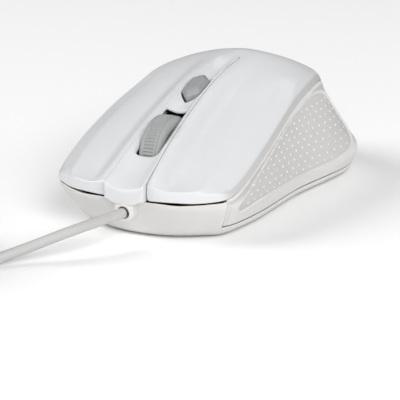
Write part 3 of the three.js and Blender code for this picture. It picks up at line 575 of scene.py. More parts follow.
def paint_shade_bands(material, shader, deep):
    """Paints shade: multiplies the colour by a darker tone where a piece's own band value says so."""
    nodes, links = material.node_tree.nodes, material.node_tree.links
    value = nodes.new("ShaderNodeAttribute")
    value.attribute_name = "band"
    mix = nodes.new("ShaderNodeMix")
    mix.data_type = "RGBA"
    mix.blend_type = "MULTIPLY"
    mix.inputs[7].default_value = (*deep, 1)
    links.new(value.outputs["Fac"], mix.inputs[0])
    links.new(shader.inputs["Base Color"].links[0].from_socket, mix.inputs[6])
    links.new(mix.outputs[2], shader.inputs["Base Color"])


def store_painted_shade(piece, value_at):
    """Stores on a piece how much painted shade each point gets, from 0 to 1."""
    mesh = piece.data
    places = np.array([v.co for v in mesh.vertices]) / MM
    band = mesh.attributes.new("band", "FLOAT", "POINT")
    band.data.foreach_set("value", value_at(places).astype(np.float32))


def moulded_plastic(name, tone, drift, roughness, grain, depth):
    """Moulded plastic: a fine sparked grain, a faint drift of tone and uneven gloss."""
    material, shader = plain_material(name, tone, roughness)
    patches = add_noise(material, 35, 2)
    tint(material, shader, remap(material, patches, 0, 1), tone, tuple(c * drift for c in tone))
    sparks = add_noise(material, grain, 4)
    smudges = add_noise(material, 90, 3)
    gloss = remap(material, smudges, roughness - 0.05, roughness + 0.06)
    material.node_tree.links.new(gloss, shader.inputs["Roughness"])
    add_bump(material, shader, sparks, depth)
    shader.inputs["Specular IOR Level"].default_value = 0.45
    return material


def brushed_metal(name, tone, roughness):
    """Drawn sheet steel with fine streaks."""
    material, shader = plain_material(name, tone, roughness, 1.0)
    streaks = add_noise(material, 1800, 5)
    links = material.node_tree.links
    links.new(remap(material, streaks, roughness - 0.08, roughness + 0.12), shader.inputs["Roughness"])
    tint(material, shader, add_noise(material, 120), tone, tuple(c * 0.9 for c in tone))
    add_bump(material, shader, streaks, 0.000004)
    return material


# Tone, its lighter or darker drift, roughness, grains per metre and their depth in metres.
PLASTICS = {
    "cover": ((0.625, 0.63, 0.643), 0.985, 0.42, 5200, 0.000006),
    "base": ((0.635, 0.625, 0.613), 0.98, 0.5, 4200, 0.00001),
    "grip": ((0.515, 0.507, 0.5), 0.97, 0.62, 5200, 0.000012),
    "dot": ((0.72, 0.72, 0.72), 0.98, 0.45, 4200, 0.000004),
    "cord": ((0.46, 0.455, 0.447), 0.98, 0.5, 2600, 0.00001),
    "wheel": ((0.35, 0.36, 0.36), 0.95, 0.45, 4200, 0.000008),
    "button": ((0.28, 0.29, 0.29), 0.95, 0.42, 4200, 0.000008),
    "tread": ((0.31, 0.32, 0.32), 0.93, 0.68, 3200, 0.000015),
    "black": ((0.012, 0.012, 0.013), 0.9, 0.5, 3000, 0.00001),
    "red": ((0.42, 0.025, 0.03), 0.9, 0.35, 2600, 0.000005),
    "glide": ((0.66, 0.66, 0.64), 0.97, 0.55, 1600, 0.00001),
    "board": ((0.015, 0.1, 0.045), 0.85, 0.4, 900, 0.00001),
    "tie": ((0.02, 0.02, 0.022), 0.9, 0.45, 3000, 0.00001),
}

# Painted shade: what the colour is multiplied by in the cover's lowest band, in the groove over the grip and
# in the crease at the panel's front corner.
PAINTED_SHADE_TONE = (0.79, 0.77, 0.755)


def make_materials():
    made = {name: moulded_plastic(name + "_plastic", *look) for name, look in PLASTICS.items()}
    made["steel"] = brushed_metal("steel", (0.62, 0.63, 0.65), 0.3)
    # The cover and the base take painted shade wherever a piece stores a band value.
    for name in ("cover", "base"):
        material = made[name]
        paint_shade_bands(material, material.node_tree.nodes["Principled BSDF"], PAINTED_SHADE_TONE)
    clear, shader = plain_material("clear_plastic", (0.9, 0.94, 0.95), 0.08)
    shader.inputs["Transmission Weight"].default_value = 0.9
    shader.inputs["IOR"].default_value = 1.49
    add_bump(clear, shader, add_noise(clear, 400), 0.000004)
    made["clear"] = clear
    return made


MATERIALS = make_materials()

CAD_FINISH = {
    "base_white": "base", "cover_white": "cover", "grip_white": "grip", "cord_white": "cord",
    "wheel_grey": "wheel", "tread_grey": "tread", "board_green": "board",
    "black_plastic": "black", "clear_plastic": "clear", "red_plastic": "red",
    "steel": "steel", "glide_white": "glide",
}


def finish_cad_nodes():
    """Gives every CAD node the material of its slot in the record."""
    for part in frame["record"]["subparts"]:
        node = frame["nodes"].get(part["node"])
        if node:
            node.data.materials.clear()
            node.data.materials.append(MATERIALS[CAD_FINISH[part["material_slot"]]])


def dress(piece, finish, slot, *nodes):
    """Material and the CAD nodes that a piece stands for. The slot argument is not used."""
    piece.data.materials.append(MATERIALS[finish])
    if nodes:
        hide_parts(*nodes)
    return piece


finish_cad_nodes()

# ---------------------------------------------------------------- cord and coil

CORD_RADIUS = 1.4
CORD_LENGTH = 1500
COIL_CLEARANCE = 0.05
STEPS_PER_TURN = 48
# The cord's route from the gland to the coil, as in the CAD model.
CORD_ROUTE = [
    (0, -56.8, 9.2), (-0.3, -58.4, 9.2), (-0.9, -60, 9.2), (-2, -63.5, 9.1), (-3.3, -67, 8.9),
    (-5, -70.4, 8.5), (-7.2, -73.4, 7.8), (-9.8, -76, 6.8), (-12.7, -78.3, 5.6), (-15.8, -80.4, 4.3),
    (-18.9, -82.7, 3.1), (-21.7, -85.4, 2.1), (-24.2, -88.6, 1.7), (-26.6, -92.1, 1.6),
    (-28.9, -95.4, 1.8),
]


def node_box(name):
    """Lowest and highest corner of a CAD node, in millimetres."""
    low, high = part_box(name)
    return np.array(low) / MM, np.array(high) / MM


def coil_seat():
    """The coil's centre, and the radius and height of its lowest outer turn."""
    low, high = node_box("cord_coil")
    outer = (high[0] - low[0]) / 2 - CORD_RADIUS - COIL_CLEARANCE
    return (low + high) / 2, outer, low[2] + CORD_RADIUS + COIL_CLEARANCE


def coil_line(start_angle, length):
    """Turns of the stored cord, four across and in layers, wound clockwise from above."""
    centre, outer, first = coil_seat()
    pitch = 2 * CORD_RADIUS + 0.02
    points, travelled, turn, angle = [], 0, 0.0, start_angle
    while travelled < length:
        whole = int(turn)
        part = turn - whole

        def place(number):
            layer, column = divmod(number, 4)
            inward = column if layer % 2 == 0 else 3 - column
            return outer - inward * pitch, first + layer * pitch * 0.86

        shift = smooth_step(part, 0.75, 1)
        radius, height = (a + (b - a) * shift for a, b in zip(place(whole), place(whole + 1)))
        point = centre + [radius * math.cos(angle), radius * math.sin(angle), 0]
        point[2] = height
        if points:
            travelled += np.linalg.norm(point - points[-1])
        points.append(point)
        turn += 1 / STEPS_PER_TURN
        angle -= 2 * math.pi / STEPS_PER_TURN
    return np.array(points)


def cord_line():
    """The whole cord's middle line, from the gland to the last turn of its coil."""
    route = curve_through(CORD_ROUTE, 6)
    centre, radius, height = coil_seat()
    heading = math.atan2(*(route[-1] - route[-2])[1::-1])
    joint = heading + math.pi / 2
    touch = centre + [radius * math.cos(joint), radius * math.sin(joint), 0]
    touch[2] = height
    bridge = curve_through([route[-7], route[-1], (route[-1] + touch) / 2, touch], 5)[5:-1]
    free = np.vstack([route, bridge[1:]])
    used = np.linalg.norm(np.diff(free, axis=0), axis=1).sum()
    return np.vstack([free, coil_line(joint, CORD_LENGTH - used - 3)])


def curve_piece(name, points, radius, finish):
    """A round cord along a line."""
    data = bpy.data.curves.new(name, "CURVE")
    data.dimensions = "3D"
    data.bevel_depth = radius * MM
    data.bevel_resolution = 3
    data.use_fill_caps = True
    spline = data.splines.new("POLY")
    spline.points.add(len(points) - 1)
    for point, place in zip(spline.points, points):
        point.co = (*(place * MM), 1)
    spline.use_smooth = True
    data.materials.append(MATERIALS[finish])
    piece = bpy.data.objects.new(name, data)
    scene.collection.objects.link(piece)
    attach(piece, BODY)
    return piece


def add_cord():
    line = cord_line()
    piece = curve_piece("cord_and_coil", line, CORD_RADIUS, "cord")
    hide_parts("cord", "cord_coil")


add_cord()

# ---------------------------------------------------------------- cover and keys

FLEX_START = 10
SLIT = 0.08  # from the strip's nominal edge to the cover's, and to the strip's own


def soften(loop, times):
    """Rounds the corners of an evenly spaced closed loop."""
    for _ in range(times):
        loop = (np.roll(loop, 1, 0) + 2 * loop + np.roll(loop, -1, 0)) / 4
    return loop


def strip_edges(grow, front, rear, radius):
    """Right side, rear end and left side of the strip's outline, from the front."""
    ys = np.linspace(front, rear - radius, 60)
    right = np.stack([strip_half(ys) + grow, ys], 1)
    half = strip_half(rear) + grow
    turns = np.linspace(0, math.pi / 2, 7)
    corner = np.stack([half - radius + radius * np.cos(turns), rear - radius + radius * np.sin(turns)], 1)
    side = np.vstack([right, corner])
    return np.vstack([side, side[::-1] * [-1, 1]])


def cover_outline():
    """The cover's plan outline, open at the front for the centre strip."""
    half = 6 + SLIT
    first = np.interp(half, SEAM[:40, 0], TABLE[:40])
    outer = along(SHOULDER, np.linspace(first, 1, 300))[:, :2]
    around = np.vstack([outer, outer[-2::-1] * [-1, 1]])
    slot = strip_edges(SLIT, outer[0, 1], STRIP_END + SLIT, 1.6)[::-1]
    loop = resample(np.vstack([around, slot[1:-1]]), 0.4)
    return soften(loop, 2)


def place_cover(flat, distance):
    x, y = flat[:, 0], flat[:, 1]
    height = cover_height(x, y)
    beside = np.abs(x) - strip_half(y) - SLIT
    by_strip = np.where(y < STRIP_END + 2, np.where(beside < 2, distance, 9), 9)
    seam_near = in_parts(nearest_seam, x, y)[0]
    by_strip = np.where(seam_near < distance + 0.05, 9, by_strip)
    return np.stack([x, y, height - edge_drop(by_strip, 0.3)], 1)


def cover_skirt(number, edge, flat):
    """What hangs from the cover's outline: the lips' undersides, the tail and the slot's walls."""
    distance, s = nearest_seam(flat[:, 0], flat[:, 1])
    outer = distance < 0.25
    tail = outer & (s > TAIL_SEAM)
    inward = offset(flat, 1) - flat
    side = np.where(flat[:, 0] < 0, -s, s)
    rows = []
    for drop, inset in ((0.1, 0.03), (0.2, 0.12), (0.24, 0.3), (0.24, 1.5), (-1.5, 1.7)):
        row = edge - [0, 0, drop]
        row[:, :2] += inward * inset
        row[~outer] = edge[~outer] - [0, 0, max(drop, 0.05) * 11]
        rows.append(row)
    wall = [body_point(side, level) for level in np.linspace(1.9, PANEL_LOW + 0.01, 16)]
    wall += [body_point(side, PANEL_LOW, 0.25), body_point(side, PANEL_LOW, 1.6)]
    return [(~tail, rows), (tail, wall)]


def carve(piece, names, chooser):
    """Splits a finished sheet into named pieces that keep its shading."""
    mesh = piece.data
    normals = np.zeros(len(mesh.vertices) * 3)
    mesh.vertex_normals.foreach_get("vector", normals)
    normals = normals.reshape(-1, 3)
    places = np.array([v.co for v in mesh.vertices])
    groups = chooser(np.array([p.center for p in mesh.polygons]) / MM)
    made = []
    for number, name in enumerate(names):
        faces = [tuple(p.vertices) for p, g in zip(mesh.polygons, groups) if g == number]
        used = sorted({v for face in faces for v in face})
        renamed = {old: new for new, old in enumerate(used)}
        faces = [tuple(renamed[v] for v in face) for face in faces]
        part = new_object(name, places[used] / MM, faces, None)
        part.data.normals_split_custom_set_from_vertices(normals[used].tolist())
        made.append(part)
    bpy.data.objects.remove(piece)
    return made


def add_cover():
    rows = (0, 0.03, 0.07, 0.12, 0.18, 0.25, 0.34, 0.45, 0.6, 0.85, 1.15, 1.5, 1.75, 1.95, 2.15, 2.4, 2.8)
    whole = patch(
        "cover", [cover_outline()], place_cover, spacing=0.9, insets=rows, skirt=cover_skirt, body=None,
    )

    def chooser(centres):
        side = np.where(centres[:, 0] > 0, 1, 2)
        return np.where(centres[:, 1] > FLEX_START, 0, side)

    # Painted shade: darkens the colour of the cover's lowest band along the seam.
    def lowest_band_shade(places):
        distance, s = in_parts(nearest_seam, places[:, 0], places[:, 1])
        ends = smooth_step(s, 0.31, 0.37) * (1 - smooth_step(s, 0.79, TAIL_SEAM))
        return (1 - smooth_step(distance, 0.8, 1.25)) * ends

    palm, left, right = carve(whole, ("palm_cover_skin", "left_key_skin", "right_key_skin"), chooser)
    for piece in (palm, left, right):
        store_painted_shade(piece, lowest_band_shade)
    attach(palm, BODY)
    dress(palm, "cover", "cover_white", "palm_cover")
    for piece, node, body in ((left, "left_key", "left_button"), (right, "right_key", "right_button")):
        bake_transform(piece)
        dress(piece, "cover", "cover_white", node)


add_cover()

# ---------------------------------------------------------------- base

def add_base_wall():
    """The base's outside: a front wall, a low band round the sides, and a chamfer at the foot."""
    near = np.array([0.0004, 0.0012, 0.0025])
    seams = np.concatenate([CORNER_SEAM - near, CORNER_SEAM - 0.0001 * np.array([1, -1]), CORNER_SEAM + near])
    sides = np.unique(np.concatenate([np.linspace(-1, 1, 421)[:-1], seams, -seams]))
    front = np.abs(sides) < CORNER_SEAM
    scoop = 0.12 * np.exp(-((np.abs(sides) - 0.15) / 0.045) ** 2)
    top = np.where(front, 1.73 - scoop, PANEL_SEAM)
    from_corner = np.where(front, (CORNER_SEAM - np.abs(sides)) * 150, 9)
    rows = []
    for inset, drop in ((2.0, 0.2), (0.6, 0.2), (0.4, 0.02), (0.35, 0.001)):
        rows.append(body_point(sides, top - drop, inset))
    span = np.linalg.norm(body_point(sides, top) - body_point(sides, top * 0.5), axis=1) / (top * 0.5)
    for distance in (0.02, 0.07, 0.14, 0.23, 0.35, 0.6, 0.9):
        level = top - distance / span
        normal = wall_normal(sides, level)
        sunk = edge_drop(np.minimum(distance, from_corner), 0.35)
        rows.append(body_point(sides, level) - normal * sunk[:, None])
    last = top - 0.9 / span
    chamfer_top = 0.15
    for f in np.linspace(0, 1, 15)[1:]:
        level = last + (chamfer_top - last) * f
        normal = wall_normal(sides, level)
        sunk = edge_drop(from_corner, 0.35)
        rows.append(body_point(sides, level) - normal * sunk[:, None])
    for level, inset in ((0.14, 0.05), (0.07, 0.62), (0.012, 1.05), (0, 1.2), (0, 1.6)):
        rows.append(body_point(sides, level, inset))
    faces = grid_faces(len(rows), len(sides), closed=True, flip=True)
    piece = new_object("base_wall", np.concatenate(rows), faces)
    dress(piece, "base", "base_white", "base_shell")
    return rows[-1]


def circle(x, y, radius, count=32):
    turns = np.linspace(0, -2 * math.pi, count, endpoint=False)
    return np.stack([x + radius * np.cos(turns), y + radius * np.sin(turns)], 1)


def rounded_slot(x, y, half_x, half_y, radius, spacing=0.4):
    """A clockwise rounded rectangle."""
    loop = []
    for k, (sx, sy) in enumerate(((1, -1), (-1, -1), (-1, 1), (1, 1))):
        turns = -math.pi / 2 * k - np.linspace(0, math.pi / 2, 9)
        loop.append(np.stack([
            x + sx * (half_x - radius) + radius * np.cos(turns),
            y + sy * (half_y - radius) + radius * np.sin(turns),
        ], 1))
    return resample(np.concatenate(loop), spacing)


def add_base_floor(edge):
    """The underside: recesses for the feet and screws, and the sensor's window."""
    outline = resample(edge[:, :2], 0.9)
    holes = [circle(0, 2, 3.8)]
    for side in ("left", "right"):
        low, high = node_box("base_screw_" + side)
        middle = (low + high) / 2
        holes.append(circle(middle[0], middle[1], 3.2, 28))
    for foot in ("front_glide_foot", "rear_glide_foot"):
        low, high = node_box(foot)
        middle, half = (low + high) / 2, (high - low) / 2
        holes.append(rounded_slot(middle[0], middle[1], half[0] + GAP, half[1] + GAP, half[1], 0.6))

    def place(flat, distance):
        height = FLOOR_LOW + np.where(loop_distance(flat, outline) < 1, 0, edge_drop(distance, 0.3))
        return np.column_stack([flat, height])

    def skirt(number, rim, flat):
        if number == 0:
            return []
        return [(np.ones(len(flat), bool), [rim + [0, 0, 0.5], rim + [0, 0, 1.2], rim + [0, 0, 3]])]

    piece = patch("base_floor", [outline, *holes], place, 2.2, skirt=skirt, flip=True)
    dress(piece, "base", "base_white", "base_shell")


add_base_floor(add_base_wall())

# ---------------------------------------------------------------- side panels and grips

ALONG = 150
UP = 20
# The grip's outline, as station along the side and level up it, from its low front corner.
PAD = [
    (0.403, 0.72), (0.47, 0.83), (0.55, 0.86), (0.63, 0.83), (0.69, 0.86), (0.735, 0.97),
    (0.768, 1.13), (0.785, 1.34), (0.782, 1.56), (0.758, 1.78), (0.72, 1.885), (0.68, 1.915),
    (0.61, 1.875), (0.55, 1.8), (0.469, 1.59), (0.415, 1.34), (0.386, 1.1),
]
PAD_SINK = 0.35
DOT_ROWS = 12
DOT_COLUMNS = 21
DOT_PITCH = 4.2
DOT_ROW_PITCH = 2.05
DOT_MARGIN = 0.9


def side_height(side):
    """Length of the wall from the hip to the shoulder."""
    return np.linalg.norm(body_point(side, 2) - body_point(side, 1), axis=-1)


def panel_top(side):
    """Level of the panel's upper edge, just under the cover."""
    distance = 0.8 - 0.28 * smooth_step(side, 0.48, 0.6) - 0.2 * smooth_step(side, 0.6, 0.74)
    return 2 - distance / side_height(side)


def panel_groove(flat, outside):
    """How far a point lies in the groove between the panel's upper lip and the grip."""
    side, level = flat[:, 0] / ALONG, flat[:, 1] / UP
    from_top = (panel_top(side) - level) * side_height(side)
    above = smooth_step(level + 0.3 * smooth_step(side, 0.72, 0.78), 1.2, 1.5)
    return above * smooth_step(from_top, 0.95, 1.25) * smooth_step(outside, 0.15, 0.5)


def corner_crease(side):
    """How far a point lies in the narrow crease at the panel's front corner."""
    return np.exp(-((side - 0.35) / 0.004) ** 2)


def panel_outline():
    """The panel laid flat: along the side and up it."""
    sides = np.linspace(CORNER_SEAM + 0.0003, TAIL_SEAM - 0.003, 120)
    low = np.stack([sides * ALONG, np.full_like(sides, PANEL_LOW * UP)], 1)
    high = np.stack([sides * ALONG, panel_top(sides) * UP], 1)
    return soften(resample(np.vstack([low, high[::-1]]), 0.6), 2)


def pad_outline():
    """The drop-shaped grip, laid flat as the panel is."""
    spots = np.array(PAD + PAD[:3]) * [ALONG, UP]
    line = curve_through(spots, 12)[12:-24]
    return soften(resample(line, 0.6), 2)


def panel_point(flat, lift):
    side, level = flat[:, 0] / ALONG, flat[:, 1] / UP
    return body_point(side, level) + wall_normal(side, level) * lift[:, None]


def add_side(sign, name, panel_node, pad_node):
    """One side: its panel, the sunken grip and the grip's dots."""
    outline = panel_outline()
    border = pad_outline()
    pad = offset(border, 0.8)
    mirror = np.array([sign, 1, 1])

    def place_panel(flat, distance):
        from_edge = loop_distance(flat, outline)
        side, level = flat[:, 0] / ALONG, flat[:, 1] / UP
        from_top = (panel_top(side) - level) * side_height(side)
        lean = 0.25 * np.logaddexp(0, (1 - from_top) / 0.12) * 0.12
        lean *= 1 - smooth_step(side, 0.64, 0.74)
        inside = np.where(inside_loop(flat, border), loop_distance(flat, border), 0)
        outside = np.where(inside > 0, 0, loop_distance(flat, border))
        bead = 0.16 * np.exp(-((inside + outside) / 0.3) ** 2)
        lift = bead - edge_drop(from_edge, 0.3) - lean - PAD_SINK * smooth_step(inside, 0, 0.75)
        lift -= edge_drop(loop_distance(flat, pad), 0.12) + 0.28 * panel_groove(flat, outside)
        lift -= 0.15 * corner_crease(side)
        return panel_point(flat, lift) * mirror

    # Painted shade: darkens the colour in the groove under the panel's lip and in the crease at its front
    # corner.
    def panel_shade(places):
        side, level = wall_place(np.abs(places[:, 0]), places[:, 1], places[:, 2])
        flat = np.stack([side * ALONG, level * UP], 1)
        outside = np.where(inside_loop(flat, border), 0, loop_distance(flat, border))
        return np.maximum(panel_groove(flat, outside), 0.5 * corner_crease(side))

    def place_pad(flat, distance):
        return panel_point(flat, -PAD_SINK - edge_drop(distance, 0.12)) * mirror

    def skirt(number, rim, flat):
        sunk = [panel_point(flat, np.full(len(flat), -depth)) * mirror for depth in (1.0, 2.0)]
        return [(np.ones(len(flat), bool), sunk)]

    rows = (0, 0.05, 0.12, 0.2, 0.3, 0.45, 0.65, 0.85, 1.1, 1.4, 1.7)
    flip = sign < 0
    panel = patch(name + "_panel_skin", [outline, pad[::-1]], place_panel, 1.3, rows, skirt, flip=flip)
    store_painted_shade(panel, panel_shade)
    dress(panel, "base", "base_white", panel_node)
    grip = patch(name + "_grip_skin", [pad], place_pad, 1.1, (0, 0.05, 0.1, 0.2), skirt, flip=flip)
    dress(grip, "grip", "grip_white", pad_node)
    add_dots(name + "_grip_dots", pad, mirror)


def wall_station(y, z):
    """Station and level of the side wall's point at a height and a distance along the side."""
    sides = np.linspace(CORNER_SEAM, TAIL_SEAM, 160)
    level = 1.4
    for _ in range(6):
        side = np.interp(y, body_point(sides, level)[:, 1], sides)
        low, high = body_point(side, level - 0.05)[2], body_point(side, level + 0.05)[2]
        level = np.clip(level + 0.1 * (z - (low + high) / 2) / (high - low), PANEL_SEAM, 2)
    return side, level


def wall_place(x, y, z):
    """Stations and levels of many points near the side wall."""
    sides, levels = np.meshgrid(np.linspace(CORNER_SEAM, TAIL_SEAM, 160), np.linspace(PANEL_SEAM, 2, 70))
    wall = body_point(sides, levels).reshape(-1, 3)
    tree = KDTree(len(wall))
    for number, point in enumerate(wall):
        tree.insert(point, number)
    tree.balance()
    best = [tree.find(point)[1] for point in zip(x, y, z)]
    return sides.ravel()[best], levels.ravel()[best]


def add_dots(name, pad, mirror):
    """Small domes in staggered level rows."""
    spots = []
    for row in range(DOT_ROWS):
        for column in range(DOT_COLUMNS):
            y = -42 + column * DOT_PITCH + (row % 2) * DOT_PITCH / 2
            side, level = wall_station(y, 7.5 + row * DOT_ROW_PITCH)
            spots.append((side * ALONG, level * UP))
    spots = np.array(spots)
    keep = inside_loop(spots, pad) & (loop_distance(spots, pad) > DOT_MARGIN)
    spots = spots[keep]
    base = panel_point(spots, np.full(len(spots), -PAD_SINK))
    normal = wall_normal(spots[:, 0] / ALONG, spots[:, 1] / UP)
    vertices, faces = [], []
    for centre, up in zip(base, normal):
        across = np.cross(up, (0, 0, 1))
        across /= np.linalg.norm(across)
        other = np.cross(up, across)
        start = len(vertices)
        for radius, height in ((0.34, -0.02), (0.27, 0.12), (0.14, 0.2)):
            for turn in np.linspace(0, 2 * math.pi, 9)[:-1]:
                spread = radius * (math.cos(turn) * across + math.sin(turn) * other)
                vertices.append((centre + spread + up * height) * mirror)
        vertices.append((centre + up * 0.23) * mirror)
        dome = grid_faces(3, 8, start, closed=True)
        dome += [(start + 16 + i, start + 16 + (i + 1) % 8, start + 24) for i in range(8)]
        faces += [face[::-1] for face in dome] if mirror[0] > 0 else dome
    piece = new_object(name, vertices, faces)
    dress(piece, "dot", "grip_white")


add_side(1, "thumb", "thumb_side_panel", "thumb_grip_pad")
add_side(-1, "outer", "outer_side_panel", "outer_grip_pad")

# ---------------------------------------------------------------- centre strip

NOSE_FRONT = -56.5
NOSE_LOW = 11.4
CHANNEL_DEPTH = 1.5
WHEEL_Y = -31.3
WHEEL_Z = 18.9
WHEEL_RADIUS = 11.5
# The hole in the strip that the wheel stands in.
WHEEL_SLOT = {"half": 3.5, "front": -43.2, "rear": -22.6, "radius": 1.3}
# The small button's middle, 0.6 mm behind the CAD model's, and its added height over the strip.
BUTTON_Y = -11
BUTTON_LIFT = 0.5
BUTTON = [(0, -6.9), (2.9, -3.6), (2.9, 3.6), (0, 6.9), (-2.9, 3.6), (-2.9, -3.6)]


def hexagon(grow):
    """The small button's plan outline, counter-clockwise, with eased corners."""
    loop = soften(resample(BUTTON, 0.3), 2)
    return offset(loop, -grow)


def strip_height(x, y):
    """The strip is a shallow channel between two flat rims."""
    across = np.clip(np.abs(x) / (strip_half(y) - 0.55), 0, 1)
    depth = CHANNEL_DEPTH * (1 - smooth_step(y, 4, STRIP_END - 1))
    return crown(y) + 0.5 * smooth_step(-y, 48, 55) - depth * (1 - across**2) ** 0.8


def add_strip():
    half = strip_half(NOSE_FRONT) - SLIT
    side = strip_edges(-SLIT, NOSE_FRONT, STRIP_END - SLIT, 1.5)
    front = np.stack([np.linspace(-half, half, 30)[1:-1], np.full(28, NOSE_FRONT)], 1)
    outline = soften(resample(np.vstack([side, front]), 0.4), 1)
    low, high = WHEEL_SLOT["front"], WHEEL_SLOT["rear"]
    slot = rounded_slot(0, (low + high) / 2, WHEEL_SLOT["half"], (high - low) / 2, WHEEL_SLOT["radius"], 0.35)
    button = (hexagon(GAP) + [0, BUTTON_Y])[::-1]

    def place(flat, distance):
        from_outline = loop_distance(flat, outline)
        at_front = flat[:, 1] < NOSE_FRONT + 1.2
        from_front = np.where(at_front, flat[:, 1] - NOSE_FRONT, 9)
        height = strip_height(flat[:, 0], flat[:, 1]) - edge_drop(from_outline, 0.2)
        bevel = np.where(flat[:, 1] < -34, 0.65, 0.25)
        height -= edge_drop(np.where(from_outline < 1.2, 9, distance), bevel)
        return np.column_stack([flat, height - edge_drop(from_front, 0.55)])

    def skirt(number, rim, flat):
        everywhere = np.ones(len(flat), bool)
        if number:
            return [(everywhere, [rim - [0, 0, 0.2], rim - [0, 0, 0.5]])]
        face = flat[:, 1] < NOSE_FRONT + 0.6
        deep = flat[:, 1] < -52.5
        bottom = NOSE_LOW + 1.2 * smooth_step(np.abs(flat[:, 0]), 2.4, 5.8)
        rows = []
        for f in (0.2, 0.45, 0.7, 0.9, 0.97, 1):
            row = rim.copy()
            row[:, 2] = np.where(deep, rim[:, 2] + (bottom - rim[:, 2]) * f, rim[:, 2] - 1.9 * f)
            rows.append(row)
        rows[-1][face, 1] += 0.12
        back = rows[-1].copy()
        back[face, 1] += 2
        return [(everywhere, rows + [back])]

    piece = patch(
        "strip_skin", [outline, slot, button], place, 0.8, (0, 0.04, 0.1, 0.18, 0.3, 0.45, 0.7), skirt,
    )
    dress(piece, "cover", "cover_white", "centre_strip")


add_strip()

# ---------------------------------------------------------------- wheel and small button

def turned_grid(name, profile, turns, ridge, body):
    """A surface turned about the wheel's axle. profile: pairs of x and radius."""
    profile = np.array(profile)
    angles = np.linspace(0, 2 * math.pi, turns, endpoint=False)
    radius = profile[:, 1] - ridge(angles[:, None], profile[:, 0])
    x = np.broadcast_to(profile[:, 0], radius.shape)
    y = WHEEL_Y - radius * np.cos(angles)[:, None]
    z = WHEEL_Z + radius * np.sin(angles)[:, None]
    vertices = np.stack([x, y, z], 2).reshape(-1, 3)
    columns = len(profile)
    faces = []
    for i in range(turns):
        for j in range(columns - 1):
            a = i * columns + j
            b = (i + 1) % turns * columns + j
            faces.append((a, a + 1, b + 1, b))
    return new_object(name, vertices, faces, body)


def add_wheel():
    """A rubber tread of short ribs between smooth shoulders, on a plastic hub."""
    ribs = 72
    outer = WHEEL_RADIUS

    def ridge(angle, x):
        """How far the valleys between the ribs lie below the ribs' tops."""
        wave = 0.5 - 0.5 * np.cos(angle * ribs)
        return 0.38 * smooth_step(wave, 0.2, 0.75) * (1 - smooth_step(np.abs(x), 1.25, 1.65))

    half = np.concatenate([np.linspace(0, 1.2, 5), np.linspace(1.3, 1.7, 5), [1.9, 2.1, 2.25]])
    rims = outer - 0.12 * (half / 2.25) ** 2
    right = np.stack([half, rims], 1)
    edge = [(2.31, outer - 0.17), (2.33, outer - 0.28), (2.33, outer - 1.8)]
    right = np.vstack([right, edge])
    profile = np.vstack([right[:0:-1] * [-1, 1], right])
    tyre = turned_grid("wheel_tread_skin", profile, ribs * 10, ridge, "wheel")
    dress(tyre, "tread", "tread_grey", "wheel_tyre")
    side = [
        (2.36, outer - 1.6), (2.36, outer - 0.35), (2.4, outer - 0.26), (2.5, outer - 0.24),
        (2.62, outer - 0.32), (3.0, outer - 1.5), (3.08, outer - 2.0), (3.1, outer - 2.5),
        (3.1, outer - 3.4), (3.0, outer - 3.6), (2.7, outer - 3.8), (2.62, outer - 4.2),
        (2.62, 4.6), (2.7, 4.3), (3.0, 4.1), (3.1, 3.9), (3.1, 2.4), (3.0, 1.95), (2.6, 1.85), (0, 1.85),
    ]
    rim = np.array(side, float)
    profile = np.vstack([rim, rim[-2::-1] * [-1, 1]])[::-1]
    hub = turned_grid("wheel_hub_skin", profile, 120, lambda angle, x: np.zeros((120, 1)), "wheel")
    dress(hub, "wheel", "wheel_grey", "wheel_hub")


def add_button():
    """The small six-sided button: a low gem with a bevelled rim."""
    outline = hexagon(0)
    tilt = math.atan(0.3)
    rise = crown(BUTTON_Y) - CHANNEL_DEPTH + BUTTON_LIFT
    rows = []
    for scale, height in (
        (0.97, -3), (1, -2.6), (1, 0.7), (0.985, 0.95), (0.955, 1.1), (0.7, 2.05), (0.66, 2.17),
        (0.6, 2.23), (0.45, 2.26), (0.25, 2.24), (0.08, 2.23),
    ):
        wide = outline * scale
        y = wide[:, 1] * math.cos(tilt) - height * math.sin(tilt)
        z = wide[:, 1] * math.sin(tilt) + height * math.cos(tilt)
        rows.append(np.stack([wide[:, 0], BUTTON_Y + y, rise + z], 1))
    count = len(outline)
    vertices = np.vstack(rows + [rows[-1].mean(0, keepdims=True)])
    faces = grid_faces(len(rows), count, closed=True)
    last = (len(rows) - 1) * count
    faces += [(last + i, last + (i + 1) % count, len(vertices) - 1) for i in range(count)]
    piece = new_object("small_button_skin", vertices, faces, "rear_button")
    dress(piece, "button", "wheel_grey", "dpi_button")


add_wheel()
add_button()

# ---------------------------------------------------------------- strain relief

GLAND = {"z": 9.2, "half": 2.75, "top": 12.2, "front": -56.7, "rear": -50}


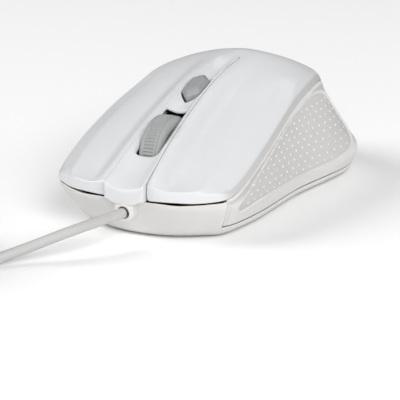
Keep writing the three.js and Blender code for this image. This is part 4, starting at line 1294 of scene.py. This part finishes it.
def add_gland():
    """A U-shaped collar with a raised lip round the cord's hole."""
    turns = np.linspace(math.pi, 2 * math.pi, 25)
    low = np.stack([GLAND["half"] * np.cos(turns), GLAND["z"] + GLAND["half"] * np.sin(turns)], 1)
    top = [(GLAND["half"], GLAND["top"]), (-GLAND["half"], GLAND["top"])]
    outline = resample(np.vstack([low, top]), 0.3)
    hole = circle(0, GLAND["z"], CORD_RADIUS + 0.32, 36)

    def place(flat, distance):
        from_outline = loop_distance(flat, outline)
        from_hole = loop_distance(flat, hole)
        lip = 0.35 * (1 - smooth_step(from_hole, 0.62, 0.8))
        y = GLAND["front"] + 0.35 - lip + edge_drop(from_outline, 0.3) + edge_drop(from_hole, 0.25)
        return np.column_stack([flat[:, 0], y, flat[:, 1]])

    def skirt(number, rim, flat):
        depths = (1.2, 3.5) if number else (1, 3, 6)
        return [(np.ones(len(flat), bool), [rim + [0, depth, 0] for depth in depths])]

    piece = patch("gland_skin", [outline, hole], place, 0.35, (0, 0.05, 0.12, 0.2, 0.32), skirt)
    dress(piece, "base", "base_white", "cord_strain_relief")


add_gland()

# ---------------------------------------------------------------- floor and light

FLOOR_HALF = 3


def add_floor():
    mesh = bpy.data.meshes.new("floor")
    corners = [(x * FLOOR_HALF, y * FLOOR_HALF, 0) for x, y in ((-1, -1), (1, -1), (1, 1), (-1, 1))]
    mesh.from_pydata(corners, [], [(0, 1, 2, 3)])
    floor = bpy.data.objects.new("floor", mesh)
    scene.collection.objects.link(floor)
    material, shader = plain_material("pale_floor", (0.95, 0.95, 0.95), 0.9)
    add_bump(material, shader, add_noise(material, 300), 0.00002)
    mesh.materials.append(material)


LIGHT_DISTANCE = 3.2
LIGHT_SIZE = 2
WORLD_STRENGTH = 0.12
# Each soft box's azimuth from the front towards the thumb side and elevation, in degrees, and watts.
SOFT_BOXES = [(50, 35, 74), (-60, 35, 67), (25, 18, 22), (100, 20, 15), (180, 50, 12)]


def add_light(name, azimuth, elevation, power):
    """A large soft box that faces the object."""
    data = bpy.data.lights.new(name, "AREA")
    data.shape = "DISK"
    data.size = LIGHT_SIZE
    data.energy = power
    light = bpy.data.objects.new(name, data)
    turn, rise = math.radians(azimuth), math.radians(elevation)
    flat = LIGHT_DISTANCE * math.cos(rise)
    height = LIGHT_DISTANCE * math.sin(rise)
    light.location = (flat * math.sin(turn), -flat * math.cos(turn), height)
    light.rotation_mode = "QUATERNION"
    light.rotation_quaternion = (-light.location).to_track_quat("-Z", "Y")
    scene.collection.objects.link(light)


def add_world():
    world = bpy.data.worlds.new("studio")
    world.use_nodes = True
    background = world.node_tree.nodes["Background"]
    background.inputs["Color"].default_value = (1, 1, 1, 1)
    background.inputs["Strength"].default_value = WORLD_STRENGTH
    scene.world = world


add_floor()
add_world()
for azimuth, elevation, power in SOFT_BOXES:
    add_light(f"soft_box_{azimuth}", azimuth, elevation, power)
scene.view_settings.view_transform = "Standard"
